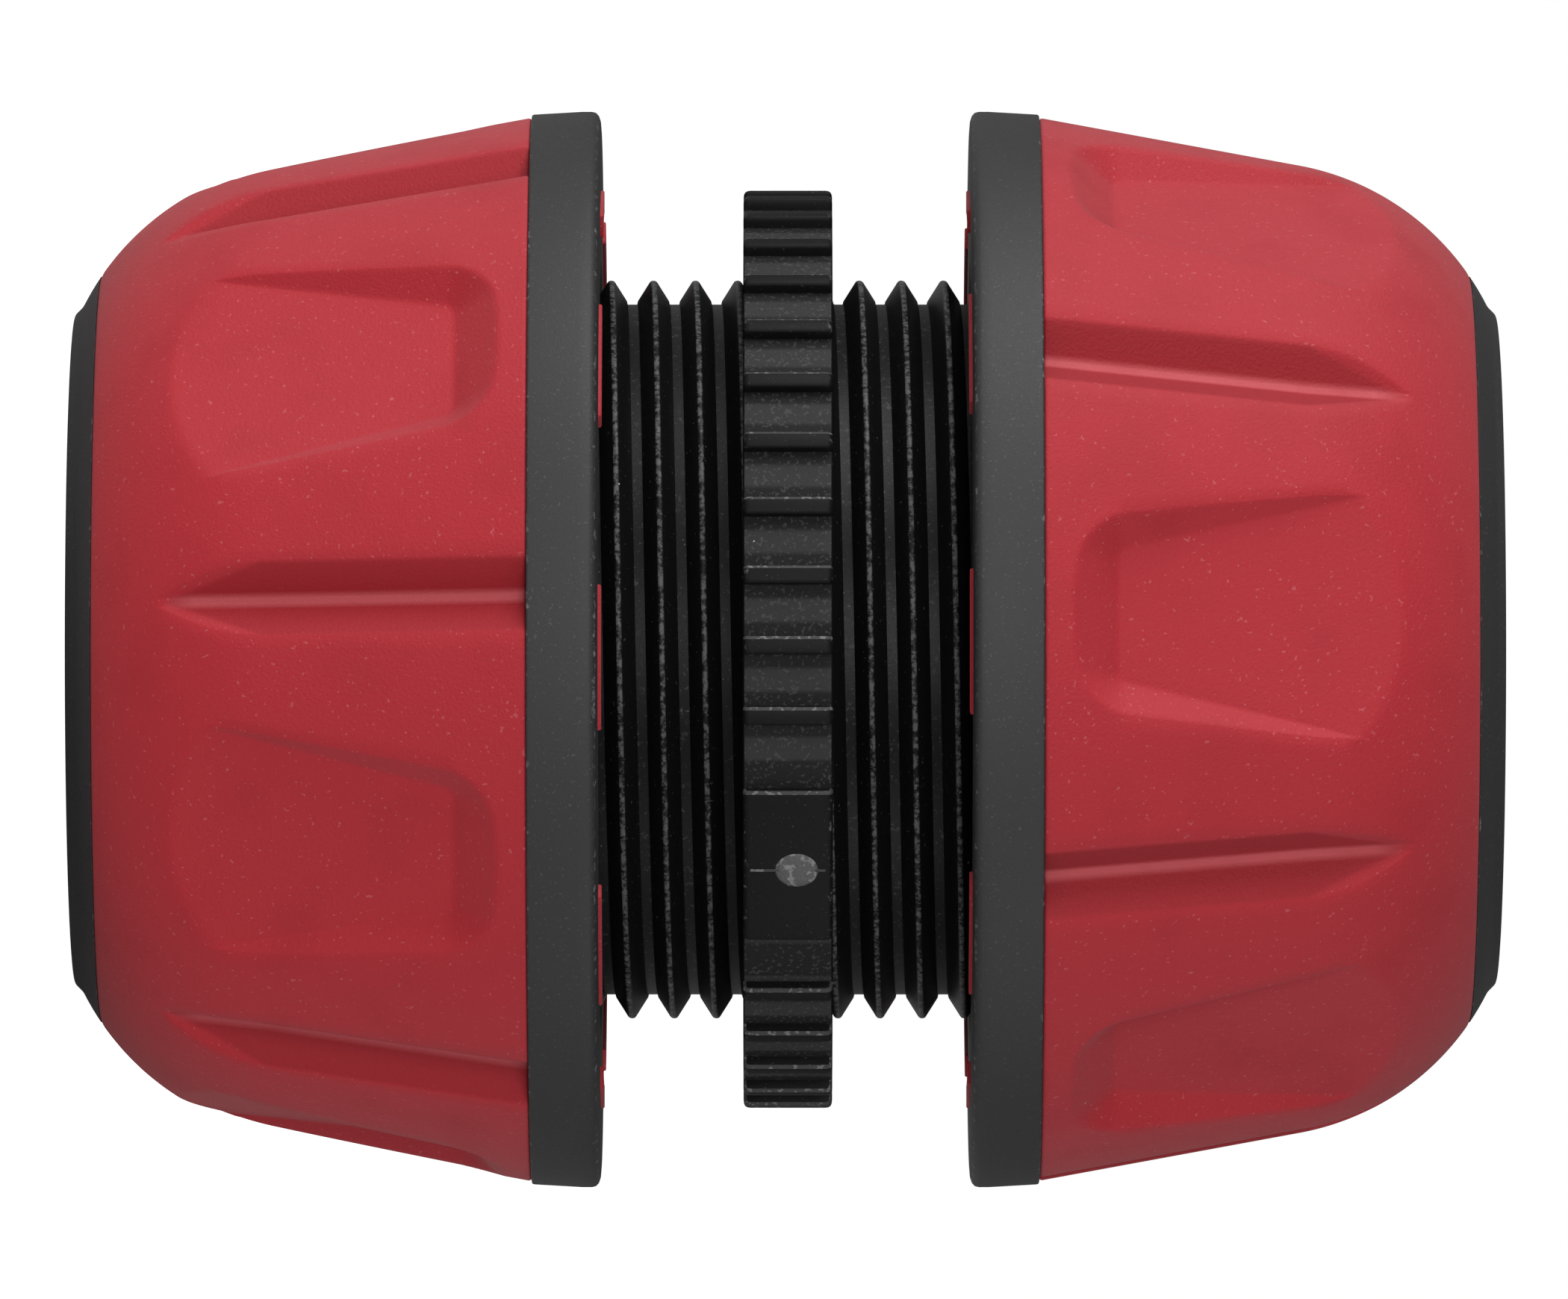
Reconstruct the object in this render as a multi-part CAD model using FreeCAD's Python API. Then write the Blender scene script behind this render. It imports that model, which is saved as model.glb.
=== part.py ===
import FreeCAD, Part
import math
import os
from FreeCAD import Vector

# Straight repair coupling for garden hose. A centre body with a ribbed ring carries a screw thread, a socket
# and a barbed spigot on each side. A nut with a soft grip screws onto each thread and drives a
# slotted collet, which closes on the hose.
#
# The coupling stands on the end of its lower nut: +Z runs along the axis and z = 0 is the floor.
# Each side is drawn in its own frame, with +Z pointing out of the coupling. Its z = 0 is the middle
# of the ribbed ring for the body, and the nut's inner face for the nut and its collet. All in mm.

# Screw thread, right-hand on both sides
THREAD_PITCH = 1.76
THREAD_MAJOR_R = 15.44
THREAD_DEPTH = 1.0
THREAD_CREST = 0.28
THREAD_ROOT = 0.40
THREAD_CLEARANCE = 0.20

# Ribbed ring, with a plain land at each parting line of its mould
RING_RISE = 3.76
RING_WIDTH = 3.7
RING_CHAMFER = 0.3
RIB_HEIGHT = 0.5
RIB_WIDTH = 0.74
RIB_STEP_DEG = 8.75
RIBS_PER_HALF = 17
LAND_HALF_DEG = 10.5
PARTING_ANGLE = -61.8

# Centre body
SLEEVE_END = 15.2
SLEEVE_WALL = 2.54
SLEEVE_FLARE = 1.0
SLEEVE_TAPER_LENGTH = 6.0
SLEEVE_CHAMFER = 1.1
WEB_THICKNESS = 3.2
SPIGOT_END = 24.0
SPIGOT_TIP_WALL = 1.15
SPIGOT_LEAD = 2.2
BARB_HEIGHT = 0.65
BARB_LAND = 0.35
BARB_STEP = 3.3
BARB_COUNT = 4
SPIGOT_WALL = 1.7
WATER_WAY_CHAMFER = 0.5

# Hose, which fits in the nut's hole and is stretched over the barbs
HOSE_CLEARANCE = 0.3
HOSE_WALL = 3.3
BARB_BITE = 0.4

# Nut, outside
NUT_LENGTH = 22.0
FLANGE_WIDTH = 2.9
FLANGE_PROUD = 0.25
FLANGE_TAPER = 0.12
FLANGE_RIM_R = 0.7
GRIP_WALL = 4.35
GRIP_CONE_DEG = 10.4
NOSE_LENGTH = 8.2
NOSE_END_WALL = 1.28
END_RING_WIDTH = 1.1
END_FACE_EDGE = 0.35

# Nut, inside
CORE_WALL = 2.16
CORE_BARREL_SETBACK = 0.6
CORE_NECK_WALL = 2.0
CORE_NECK_LENGTH = 1.0
HOSE_HOLE_CHAMFER = 0.6
END_WALL = 1.8
NUT_THREAD_TURNS = 3.0
NUT_THREAD_OFFSET = 0.64
NUT_MOUTH_CHAMFER = 0.5
RELIEF_CLEARANCE = 0.65

# Feed windows, through which the soft grip reaches the nut's inner face
WINDOW_COUNT = 9
WINDOW_SPAN_DEG = 18.0
WINDOW_TURN = 13.0
WINDOW_WIDTH = 1.0
WINDOW_SETBACK = 0.3
WINDOW_PROUD = 0.3

# Grip flutes and pockets, alternating round the grip
GRIP_COUNT = 6
FLUTE_DEPTH = 1.15
FLUTE_VALLEY = 0.34
FLUTE_WALL_SLOPE = 1.25
FLUTE_ON_NOSE = 4.2
POCKET_START = 3.0
POCKET_DEPTH = 1.45
POCKET_ON_NOSE = 3.8
POCKET_FLOOR_WIDTH = 5.45
POCKET_SPREAD_DEG = 12.5
POCKET_CORNER_R = 0.35
POCKET_WALL_SLOPE = 1.3

# Collet
COLLET_LENGTH = 12.2
COLLET_GAP = 0.55
COLLET_WALL = 0.8
COLLET_RELIEF = 0.25
COLLET_FLANGE_HEIGHT = 0.75
COLLET_FLANGE_WIDTH = 1.5
COLLET_RIM_LENGTH = 3.6
COLLET_TIP_CHAMFER = 0.4
COLLET_TOOTH_STEP = 1.5
COLLET_TOOTH_HEIGHT = 0.5
COLLET_TOOTH_COUNT = 3
COLLET_GRIP = 0.95
COLLET_PLAY = 0.15
COLLET_SIDE_PLAY = 0.2
FINGER_COUNT = 8
FINGER_SLOT = 1.2
SNAP_LIP_HEIGHT = 0.35
SNAP_LIP_WIDTH = 0.6

# How far each nut is screwed on, as the gap between its inner face and the ring, and how far it is
# turned. The two nuts are the same moulding, and the body's threads start where they fit them.
LOWER_NUT_GAP = 5.95
UPPER_NUT_GAP = 5.75
LOWER_NUT_TURN = 36.0
UPPER_NUT_TURN = 176.0
TIGHT_GAP = 0.6

# Sizes that follow from those above, from the screw thread inwards to the water way
THREAD_ROOT_R = THREAD_MAJOR_R - THREAD_DEPTH
THREAD_FLANK = (THREAD_PITCH - THREAD_ROOT - THREAD_CREST) / 2 / THREAD_DEPTH
SLEEVE_BORE_R = THREAD_ROOT_R - SLEEVE_WALL
COLLET_R = SLEEVE_BORE_R - COLLET_GAP
COLLET_BORE_R = COLLET_R - COLLET_WALL
HOSE_HOLE_R = COLLET_BORE_R - COLLET_RELIEF
BARB_R = HOSE_HOLE_R - HOSE_CLEARANCE - HOSE_WALL + BARB_BITE
SPIGOT_ROOT_R = BARB_R - BARB_HEIGHT / 2
WATER_WAY_R = BARB_R - BARB_HEIGHT - SPIGOT_WALL

# and from the screw thread outwards to the grip
RING_R = THREAD_MAJOR_R + RING_RISE
RING_FACE = RING_WIDTH / 2
RELIEF_R = THREAD_MAJOR_R + 1.5 * THREAD_CLEARANCE
RELIEF_LENGTH = SLEEVE_END - RING_FACE - TIGHT_GAP + RELIEF_CLEARANCE
BARREL_R = RELIEF_R + CORE_WALL
GRIP_R = BARREL_R + GRIP_WALL
FLANGE_R = GRIP_R + FLANGE_PROUD
CONE_LENGTH = NUT_LENGTH - FLANGE_WIDTH - NOSE_LENGTH
CONE_SLOPE = math.tan(math.radians(GRIP_CONE_DEG))
CORE_BARREL_LENGTH = CONE_LENGTH - CORE_BARREL_SETBACK
SHOULDER_Z = NUT_LENGTH - END_RING_WIDTH
COLLET_FLANGE_R = COLLET_R + COLLET_FLANGE_HEIGHT
COLLET_TOP = NUT_LENGTH - END_WALL - COLLET_PLAY
SEAT_R = COLLET_FLANGE_R + COLLET_SIDE_PLAY
NECK_R = SEAT_R + CORE_NECK_WALL
NOSE_END_R = SEAT_R + NOSE_END_WALL
WINDOW_INNER_R = BARREL_R + WINDOW_SETBACK
BODY_Z = NUT_LENGTH + LOWER_NUT_GAP + RING_FACE

# How far cutters and joined pieces run past the faces they meet
OVERLAP = 0.2
CUTTER_HEIGHT = 3.0

# Where the seams of a turned blank can lie, about Z, before a thread is joined to it
SEAM_TURNS = (137.0, 61.0, 251.0, 199.0, 0.0)


def point(r, z):
    return Vector(r, 0, z)


def arc(a, middle, b):
    return Part.Arc(point(*a), point(*middle), point(*b)).toShape()


def polyline(corners):
    return [Part.makeLine(point(*a), point(*b)) for a, b in zip(corners, corners[1:])]


def turned(edges):
    """The solid of revolution about Z of a closed outline of edges in the XZ plane."""
    face = Part.Face(Part.Wire(Part.__sortEdges__(edges)))
    return face.revolve(Vector(0, 0, 0), Vector(0, 0, 1), 360)


def turned_polygon(corners):
    return turned(polyline(corners + corners[:1]))


def sector(corners, start_deg, span_deg):
    """The part of a turned polygon between two angles about Z."""
    face = Part.Face(Part.Wire(polyline(corners + corners[:1])))
    face.rotate(Vector(0, 0, 0), Vector(0, 0, 1), start_deg)
    return face.revolve(Vector(0, 0, 0), Vector(0, 0, 1), span_deg)


def around(shape, count, start_deg=0.0):
    """Copies of a shape, spaced evenly about Z."""
    copies = []
    for i in range(count):
        copy = shape.copy()
        copy.rotate(Vector(0, 0, 0), Vector(0, 0, 1), start_deg + i * 360.0 / count)
        copies.append(copy)
    return copies


def turn_over(shape):
    """Turns a piece drawn in a side's own frame to face down."""
    shape.rotate(Vector(0, 0, 0), Vector(1, 0, 0), 180)
    return shape


# Screw thread


def helix_ridge(outline, length, start_z):
    """A right-hand helical ridge of an outline of (r, z) corners, centred on start_z at +X."""
    profile = Part.Wire(polyline(outline + outline[:1]))
    helix = Part.makeHelix(THREAD_PITCH, length, outline[0][0])
    ridge = Part.Wire(helix.Edges).makePipeShell([profile], True, True)
    ridge.translate(Vector(0, 0, start_z))
    return ridge


def ridge_half_width(r):
    """Half the width of the body's thread ridge at a radius."""
    return THREAD_CREST / 2 + (THREAD_MAJOR_R - r) * THREAD_FLANK


def with_ridges(blank, ridges):
    """A turned blank with ridges joined to it, its seams turned to where every ridge is kept whole."""
    ridge_volume = sum(ridge.Volume for ridge in ridges)
    for turn in SEAM_TURNS:
        joined = around(blank, 1, turn)[0].fuse(ridges)
        if joined.isValid() and joined.Volume > blank.Volume + ridge_volume / 2:
            break
    return joined


def body_thread(nut_gap, nut_turn):
    """The thread on one sleeve, from inside the ring to the sleeve's chamfered end."""
    in_mesh = RING_FACE + nut_gap + NUT_THREAD_OFFSET - THREAD_PITCH * nut_turn / 360
    start_z = in_mesh % THREAD_PITCH - THREAD_PITCH
    foot_r = THREAD_ROOT_R - OVERLAP
    foot = ridge_half_width(foot_r)
    crest = THREAD_CREST / 2
    outline = [(foot_r, -foot), (THREAD_MAJOR_R, -crest), (THREAD_MAJOR_R, crest), (foot_r, foot)]
    ridge = helix_ridge(outline, SLEEVE_END - start_z + THREAD_PITCH, start_z)
    inner_r = SLEEVE_BORE_R + SLEEVE_FLARE
    outer_r = THREAD_MAJOR_R + THREAD_DEPTH
    chamfer_r = THREAD_MAJOR_R - SLEEVE_CHAMFER
    envelope = turned_polygon([
        (inner_r, RING_FACE - OVERLAP),
        (outer_r, RING_FACE - OVERLAP),
        (outer_r, SLEEVE_END - (outer_r - chamfer_r)),
        (chamfer_r, SLEEVE_END),
        (inner_r, SLEEVE_END),
    ])
    return ridge.common(envelope)


def nut_thread():
    """The nut's internal thread, which runs in the body's thread with a clearance on each side."""
    foot_r = RELIEF_R + OVERLAP
    crest_r = THREAD_ROOT_R + THREAD_CLEARANCE
    half_pitch = THREAD_PITCH / 2 - THREAD_CLEARANCE
    foot = half_pitch - ridge_half_width(foot_r)
    crest = half_pitch - ridge_half_width(crest_r)
    outline = [(foot_r, -foot), (crest_r, -crest), (crest_r, crest), (foot_r, foot)]
    return helix_ridge(outline, NUT_THREAD_TURNS * THREAD_PITCH, NUT_THREAD_OFFSET + THREAD_PITCH / 2)


# Centre body


def barb_outline():
    """The spigot's outer outline from its tip to the barb nearest the ring."""
    valley_r = BARB_R - BARB_HEIGHT
    corners = [(WATER_WAY_R + SPIGOT_TIP_WALL, SPIGOT_END)]
    z = SPIGOT_END - SPIGOT_LEAD
    for i in range(BARB_COUNT):
        corners.append((BARB_R, z))
        corners.append((BARB_R, z - BARB_LAND))
        corners.append((valley_r, z - 2 * BARB_LAND))
        z -= BARB_STEP
    corners[-1] = (SPIGOT_ROOT_R, corners[-1][1])
    return corners


def side_outline():
    """One side of the body from the spigot's tip to the ring's rim, without the thread."""
    outline = [(WATER_WAY_R, SPIGOT_END - WATER_WAY_CHAMFER)]
    outline.append((WATER_WAY_R + WATER_WAY_CHAMFER, SPIGOT_END))
    outline += barb_outline()
    outline += [
        (SPIGOT_ROOT_R, WEB_THICKNESS / 2),
        (SLEEVE_BORE_R, WEB_THICKNESS / 2),
        (SLEEVE_BORE_R, SLEEVE_END - SLEEVE_TAPER_LENGTH),
        (SLEEVE_BORE_R + SLEEVE_FLARE, SLEEVE_END),
        (THREAD_MAJOR_R - SLEEVE_CHAMFER, SLEEVE_END),
        (THREAD_ROOT_R, SLEEVE_END - (SLEEVE_CHAMFER - THREAD_DEPTH)),
        (THREAD_ROOT_R, RING_FACE),
        (RING_R - RING_CHAMFER, RING_FACE),
        (RING_R, RING_FACE - RING_CHAMFER),
    ]
    return outline


def body_blank():
    upper = side_outline()
    lower = [(r, -z) for r, z in reversed(upper)]
    return turned_polygon(upper + lower)


def ring_recesses():
    """The cutters between the ribs of the ring's rim, which leave a plain land at each parting line."""
    floor_r = RING_R - RIB_HEIGHT
    outer_r = RING_R + RIB_HEIGHT
    reach = RING_FACE + OVERLAP
    corners = [(floor_r, -reach), (outer_r, -reach), (outer_r, reach), (floor_r, reach)]
    half_rib = math.degrees(RIB_WIDTH / 2 / RING_R)
    first = 90.0 - (RIBS_PER_HALF - 1) / 2 * RIB_STEP_DEG
    ribs = [first + i * RIB_STEP_DEG for i in range(RIBS_PER_HALF)]
    starts = [LAND_HALF_DEG] + [rib + half_rib for rib in ribs]
    ends = [rib - half_rib for rib in ribs] + [180.0 - LAND_HALF_DEG]
    cutters = []
    for start, end in zip(starts, ends):
        cutter = sector(corners, PARTING_ANGLE + start, end - start)
        cutters += around(cutter, 2)
    return cutters


def connector_body():
    upper_thread = body_thread(UPPER_NUT_GAP, UPPER_NUT_TURN)
    lower_thread = turn_over(body_thread(LOWER_NUT_GAP, LOWER_NUT_TURN))
    body = with_ridges(body_blank(), [upper_thread, lower_thread])
    return body.cut(Part.makeCompound(ring_recesses()))


# Nut


def nose_start():
    """Where the grip's cone ends and its rounded nose begins, as (r, z)."""
    return GRIP_R - CONE_LENGTH * CONE_SLOPE, FLANGE_WIDTH + CONE_LENGTH


def nose_r(z):
    """Radius of the nose, an arc that leaves the cone without a kink and reaches the nut's end."""
    slope = math.radians(GRIP_CONE_DEG)
    start_r, start_z = nose_start()
    fall = start_r - NOSE_END_R
    radius = (fall ** 2 + NOSE_LENGTH ** 2) / 2 / (fall * math.cos(slope) - NOSE_LENGTH * math.sin(slope))
    centre_r = start_r - radius * math.cos(slope)
    centre_z = start_z - radius * math.sin(slope)
    return centre_r + math.sqrt(radius ** 2 - (z - centre_z) ** 2)


def grip_r(z):
    """Outer radius of the plain grip at a height."""
    start_r, start_z = nose_start()
    if z >= start_z:
        return nose_r(z)
    return start_r + (start_z - z) * CONE_SLOPE


def nose_arc(z_from, z_to):
    middle = (z_from + z_to) / 2
    return arc((nose_r(z_from), z_from), (nose_r(middle), middle), (nose_r(z_to), z_to))


def barrel_corners():
    """Where the soft grip sits on the core, from the flange to the end ring."""
    return [
        (BARREL_R, FLANGE_WIDTH),
        (BARREL_R, FLANGE_WIDTH + CORE_BARREL_LENGTH),
        (NECK_R, SHOULDER_Z - CORE_NECK_LENGTH),
        (NECK_R, SHOULDER_Z),
    ]


def grip_blank():
    edges = polyline(barrel_corners() + [(nose_r(SHOULDER_Z), SHOULDER_Z)])
    edges.append(nose_arc(SHOULDER_Z, nose_start()[1]))
    edges += polyline([nose_start(), (GRIP_R, FLANGE_WIDTH), (BARREL_R, FLANGE_WIDTH)])
    return turned(edges)


def windows(z_from, z_to):
    """The feed windows' blocks between two heights."""
    outer_r = WINDOW_INNER_R + WINDOW_WIDTH
    corners = [(WINDOW_INNER_R, z_from), (outer_r, z_from), (outer_r, z_to), (WINDOW_INNER_R, z_to)]
    block = sector(corners, WINDOW_TURN - WINDOW_SPAN_DEG / 2, WINDOW_SPAN_DEG)
    return around(block, WINDOW_COUNT)


def flute_section(z, floor_r):
    """A V section with a narrow valley, across the grip."""
    valley = FLUTE_VALLEY / 2
    top = valley + FLUTE_WALL_SLOPE * CUTTER_HEIGHT
    corners = [
        Vector(floor_r, -valley, z),
        Vector(floor_r, valley, z),
        Vector(floor_r + CUTTER_HEIGHT, top, z),
        Vector(floor_r + CUTTER_HEIGHT, -top, z),
    ]
    return Part.makePolygon(corners + corners[:1])


def flute_cutter():
    """A groove that follows the cone from the flange and rises to a point on the nose."""
    start_z = FLANGE_WIDTH - OVERLAP
    start_r = grip_r(start_z) - FLUTE_DEPTH
    bend_r, bend_z = nose_start()
    bend_r -= FLUTE_DEPTH
    rise = (bend_r - grip_r(bend_z + FLUTE_ON_NOSE)) / FLUTE_ON_NOSE
    end_r = bend_r - rise * (NUT_LENGTH - bend_z)
    sections = [flute_section(start_z, start_r), flute_section(bend_z, bend_r), flute_section(NUT_LENGTH, end_r)]
    return Part.makeLoft(sections, True, True)


def pocket_outline(rise):
    """The pocket's outline on a plane parallel to its floor, at a height above it."""
    spread = math.radians(POCKET_SPREAD_DEG)
    start_z = FLANGE_WIDTH + POCKET_START
    end_z = FLANGE_WIDTH + CONE_LENGTH + POCKET_ON_NOSE
    floor_r = grip_r(start_z) - POCKET_DEPTH
    tilt = math.atan2(floor_r - grip_r(end_z), end_z - start_z)
    length = NUT_LENGTH - start_z
    offset = rise * POCKET_WALL_SLOPE
    half = POCKET_FLOOR_WIDTH / 2 + offset * (1 / math.cos(spread) - math.tan(spread))
    far = half + (length + offset) * math.tan(spread)
    radius = POCKET_CORNER_R + offset
    middle = (math.pi / 2 - spread) / 2
    trim = radius * math.tan(middle)

    def place(along, across):
        r = floor_r - along * math.sin(tilt) + rise * math.cos(tilt)
        z = start_z + along * math.cos(tilt) + rise * math.sin(tilt)
        return Vector(r, across, z)

    def corner(sign):
        return [
            place(-offset, sign * (half - trim)),
            place(radius * (1 - math.cos(middle)) - offset, sign * (half - trim + radius * math.sin(middle))),
            place(trim * math.cos(spread) - offset, sign * (half + trim * math.sin(spread))),
        ]

    left, right = corner(-1), corner(1)
    ends = [place(length, far), place(length, -far)]
    return Part.Wire([
        Part.makeLine(left[0], right[0]),
        Part.Arc(*right).toShape(),
        Part.makeLine(right[2], ends[0]),
        Part.makeLine(ends[0], ends[1]),
        Part.makeLine(ends[1], left[2]),
        Part.Arc(*reversed(left)).toShape(),
    ])


def pocket_cutter():
    """A finger recess with a flat floor and sloped walls, open towards the nose."""
    return Part.makeLoft([pocket_outline(0.0), pocket_outline(CUTTER_HEIGHT)], True, True)


def grip_sleeve():
    grip = grip_blank().fuse(windows(-WINDOW_PROUD, FLANGE_WIDTH + OVERLAP))
    cutters = around(flute_cutter(), GRIP_COUNT)
    cutters += around(pocket_cutter(), GRIP_COUNT, 180.0 / GRIP_COUNT)
    return grip.cut(cutters)


def core_bore():
    """The nut's inner outline from its inner face to its end face."""
    seat_end = NUT_LENGTH - END_WALL
    lip_top = seat_end - 2 * COLLET_PLAY - COLLET_FLANGE_WIDTH
    lip_low = lip_top - SNAP_LIP_WIDTH
    lip_r = SEAT_R - SNAP_LIP_HEIGHT
    return [
        (RELIEF_R + NUT_MOUTH_CHAMFER, 0.0),
        (RELIEF_R, NUT_MOUTH_CHAMFER),
        (RELIEF_R, RELIEF_LENGTH),
        (SEAT_R, lip_low - SNAP_LIP_HEIGHT),
        (lip_r, lip_low),
        (lip_r, lip_top),
        (SEAT_R, lip_top),
        (SEAT_R, seat_end),
        (HOSE_HOLE_R, seat_end),
        (HOSE_HOLE_R, NUT_LENGTH - HOSE_HOLE_CHAMFER),
        (HOSE_HOLE_R + HOSE_HOLE_CHAMFER, NUT_LENGTH),
    ]


def nut_core():
    bore = core_bore()
    edge_z = NUT_LENGTH - END_FACE_EDGE
    rim = FLANGE_RIM_R
    bulge = rim * (1 - math.sqrt(0.5))
    edges = polyline(bore + [(nose_r(edge_z) - END_FACE_EDGE, NUT_LENGTH), (nose_r(edge_z), edge_z)])
    edges.append(nose_arc(edge_z, SHOULDER_Z))
    edges += polyline([(nose_r(SHOULDER_Z), SHOULDER_Z)] + barrel_corners()[::-1])
    edges += polyline([(BARREL_R, FLANGE_WIDTH), (FLANGE_R - FLANGE_TAPER, FLANGE_WIDTH), (FLANGE_R, rim)])
    edges.append(arc((FLANGE_R, rim), (FLANGE_R - bulge, bulge), (FLANGE_R - rim, 0.0)))
    edges += polyline([(FLANGE_R - rim, 0.0), bore[0]])
    return with_ridges(turned(edges), [nut_thread()]).cut(windows(-WINDOW_PROUD, FLANGE_WIDTH))


# Collet


def collet_outline():
    """A flange held at the nut's end wall, and toothed fingers that reach to the body's sleeve."""
    flange_low = COLLET_TOP - COLLET_FLANGE_WIDTH
    tip = COLLET_TOP - COLLET_LENGTH
    grip_bore_r = COLLET_BORE_R - COLLET_GRIP
    corners = [
        (COLLET_BORE_R, COLLET_TOP),
        (COLLET_FLANGE_R, COLLET_TOP),
        (COLLET_FLANGE_R, flange_low),
        (COLLET_R, flange_low),
        (COLLET_R, tip + COLLET_TIP_CHAMFER),
        (COLLET_R - COLLET_TIP_CHAMFER, tip),
    ]
    for i in range(COLLET_TOOTH_COUNT):
        z = tip + i * COLLET_TOOTH_STEP
        corners.append((grip_bore_r + COLLET_TOOTH_HEIGHT, z))
        corners.append((grip_bore_r, z + COLLET_TOOTH_STEP / 4))
    corners.append((COLLET_BORE_R, tip + COLLET_TOOTH_COUNT * COLLET_TOOTH_STEP))
    return corners


def collet():
    ring = turned_polygon(collet_outline())
    slot_length = COLLET_LENGTH - COLLET_RIM_LENGTH + OVERLAP
    slot = Part.makeBox(COLLET_FLANGE_R, FINGER_SLOT, slot_length)
    slot.translate(Vector(0, -FINGER_SLOT / 2, COLLET_TOP - COLLET_LENGTH - OVERLAP))
    return ring.cut(around(slot, FINGER_COUNT))


# The two sides and the whole


def on_upper_side(shape):
    placed = around(shape, 1, UPPER_NUT_TURN)[0]
    placed.translate(Vector(0, 0, BODY_Z + RING_FACE + UPPER_NUT_GAP))
    return placed


def on_lower_side(shape):
    placed = turn_over(around(shape, 1, LOWER_NUT_TURN)[0])
    placed.translate(Vector(0, 0, NUT_LENGTH))
    return placed


def build():
    body = connector_body()
    body.translate(Vector(0, 0, BODY_Z))
    parts = {"connector_body": body}
    moulded = {"nut_core": nut_core(), "grip_sleeve": grip_sleeve(), "collet": collet()}
    for name, shape in moulded.items():
        parts["lower_" + name] = on_lower_side(shape)
        parts["upper_" + name] = on_upper_side(shape)
    return parts


os.makedirs("parts", exist_ok=True)
for name, shape in build().items():
    shape.exportStep("parts/" + name + ".step")
    print(name, "valid" if shape.isValid() else "NOT VALID", len(shape.Solids), round(shape.Volume, 1))
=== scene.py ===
import math

import bmesh
import bpy
from mathutils import Matrix, Vector


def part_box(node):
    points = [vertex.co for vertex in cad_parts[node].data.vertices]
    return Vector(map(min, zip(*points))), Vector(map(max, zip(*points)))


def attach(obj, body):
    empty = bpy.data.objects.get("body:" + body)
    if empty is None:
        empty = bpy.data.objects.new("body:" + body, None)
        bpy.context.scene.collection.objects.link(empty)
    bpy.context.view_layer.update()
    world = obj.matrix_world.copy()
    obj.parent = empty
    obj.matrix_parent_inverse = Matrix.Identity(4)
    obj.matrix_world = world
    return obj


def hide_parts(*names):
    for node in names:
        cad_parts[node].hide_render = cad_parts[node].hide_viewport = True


bl_info = {
    "name": "Hose Connector",
    "version": (1, 0, 0),
    "blender": (4, 5, 0),
    "location": "3D View > Sidebar > Hose Connector",
    "description": "Builds the visible pieces of a garden hose repair coupling on its fixed frame",
    "category": "Add Mesh",
}

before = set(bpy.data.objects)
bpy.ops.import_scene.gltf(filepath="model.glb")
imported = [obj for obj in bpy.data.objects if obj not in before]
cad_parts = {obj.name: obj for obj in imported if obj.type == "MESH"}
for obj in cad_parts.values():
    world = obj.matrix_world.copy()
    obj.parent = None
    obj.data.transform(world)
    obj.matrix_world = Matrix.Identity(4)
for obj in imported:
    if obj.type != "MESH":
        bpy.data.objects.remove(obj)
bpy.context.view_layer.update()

MM = 0.001
TURN = 2 * math.pi
SHARP_ANGLE = math.radians(35)
BEVEL_ANGLE = math.radians(40)
FINE_EASING = 0.06 * MM

NUT_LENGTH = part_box("lower_nut_core")[1].z
UPPER_NUT_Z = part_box("upper_nut_core")[0].z
BODY_Z = (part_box("connector_body")[0].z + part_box("connector_body")[1].z) / 2
RING_FACE = 1.85 * MM

# Turns of the threads, the heights at which they start, and a bound that cuts nothing off
THREAD_TURNS = 8.6
THREAD_STARTS = {"lower": -0.536 * MM, "upper": 0.34 * MM}
NUT_THREAD_TURNS = 3.0
NUT_THREAD_START = 1.52 * MM
NO_LIMIT = 1.0

# The lip before a collet's seat: its distance from the seat's end, and its width
LIP_DEPTH = 1.8 * MM
LIP_WIDTH = 0.6 * MM

TOOTH_COUNT = 3


def turn_about_z(degrees):
    return Matrix.Rotation(math.radians(degrees), 4, "Z")


def lift(height):
    return Matrix.Translation((0, 0, height))


TURN_OVER = Matrix.Rotation(math.pi, 4, "X")
# Each nut and its collet are drawn with the nut's inner face at z = 0 and the hose's side up, and the
# body about the middle of its ring. These are their places on the coupling.
NUT_PLACES = {
    "lower": lift(NUT_LENGTH) @ TURN_OVER @ turn_about_z(36),
    "upper": lift(UPPER_NUT_Z) @ turn_about_z(176),
}
# For each nut: where its flutes start round Z in degrees, its inner face and the way it points
FLUTE_PLACES = {"lower": (-36.0, NUT_LENGTH, -1.0), "upper": (176.0, UPPER_NUT_Z, 1.0)}
BODY_PLACES = {"lower": lift(BODY_Z) @ TURN_OVER, "upper": lift(BODY_Z)}


# Sizes and colours


def length(name, description, size):
    return bpy.props.FloatProperty(
        name=name, description=description, default=size * MM, precision=5, unit="LENGTH"
    )


def slant(name, description, degrees):
    return bpy.props.FloatProperty(
        name=name, description=description, default=math.radians(degrees), subtype="ANGLE"
    )


def number(name, description, default):
    return bpy.props.FloatProperty(name=name, description=description, default=default)


def colour(name, description, default):
    return bpy.props.FloatVectorProperty(
        name=name, description=description, default=default + (1.0,), size=4,
        min=0.0, max=1.0, subtype="COLOR",
    )


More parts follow.
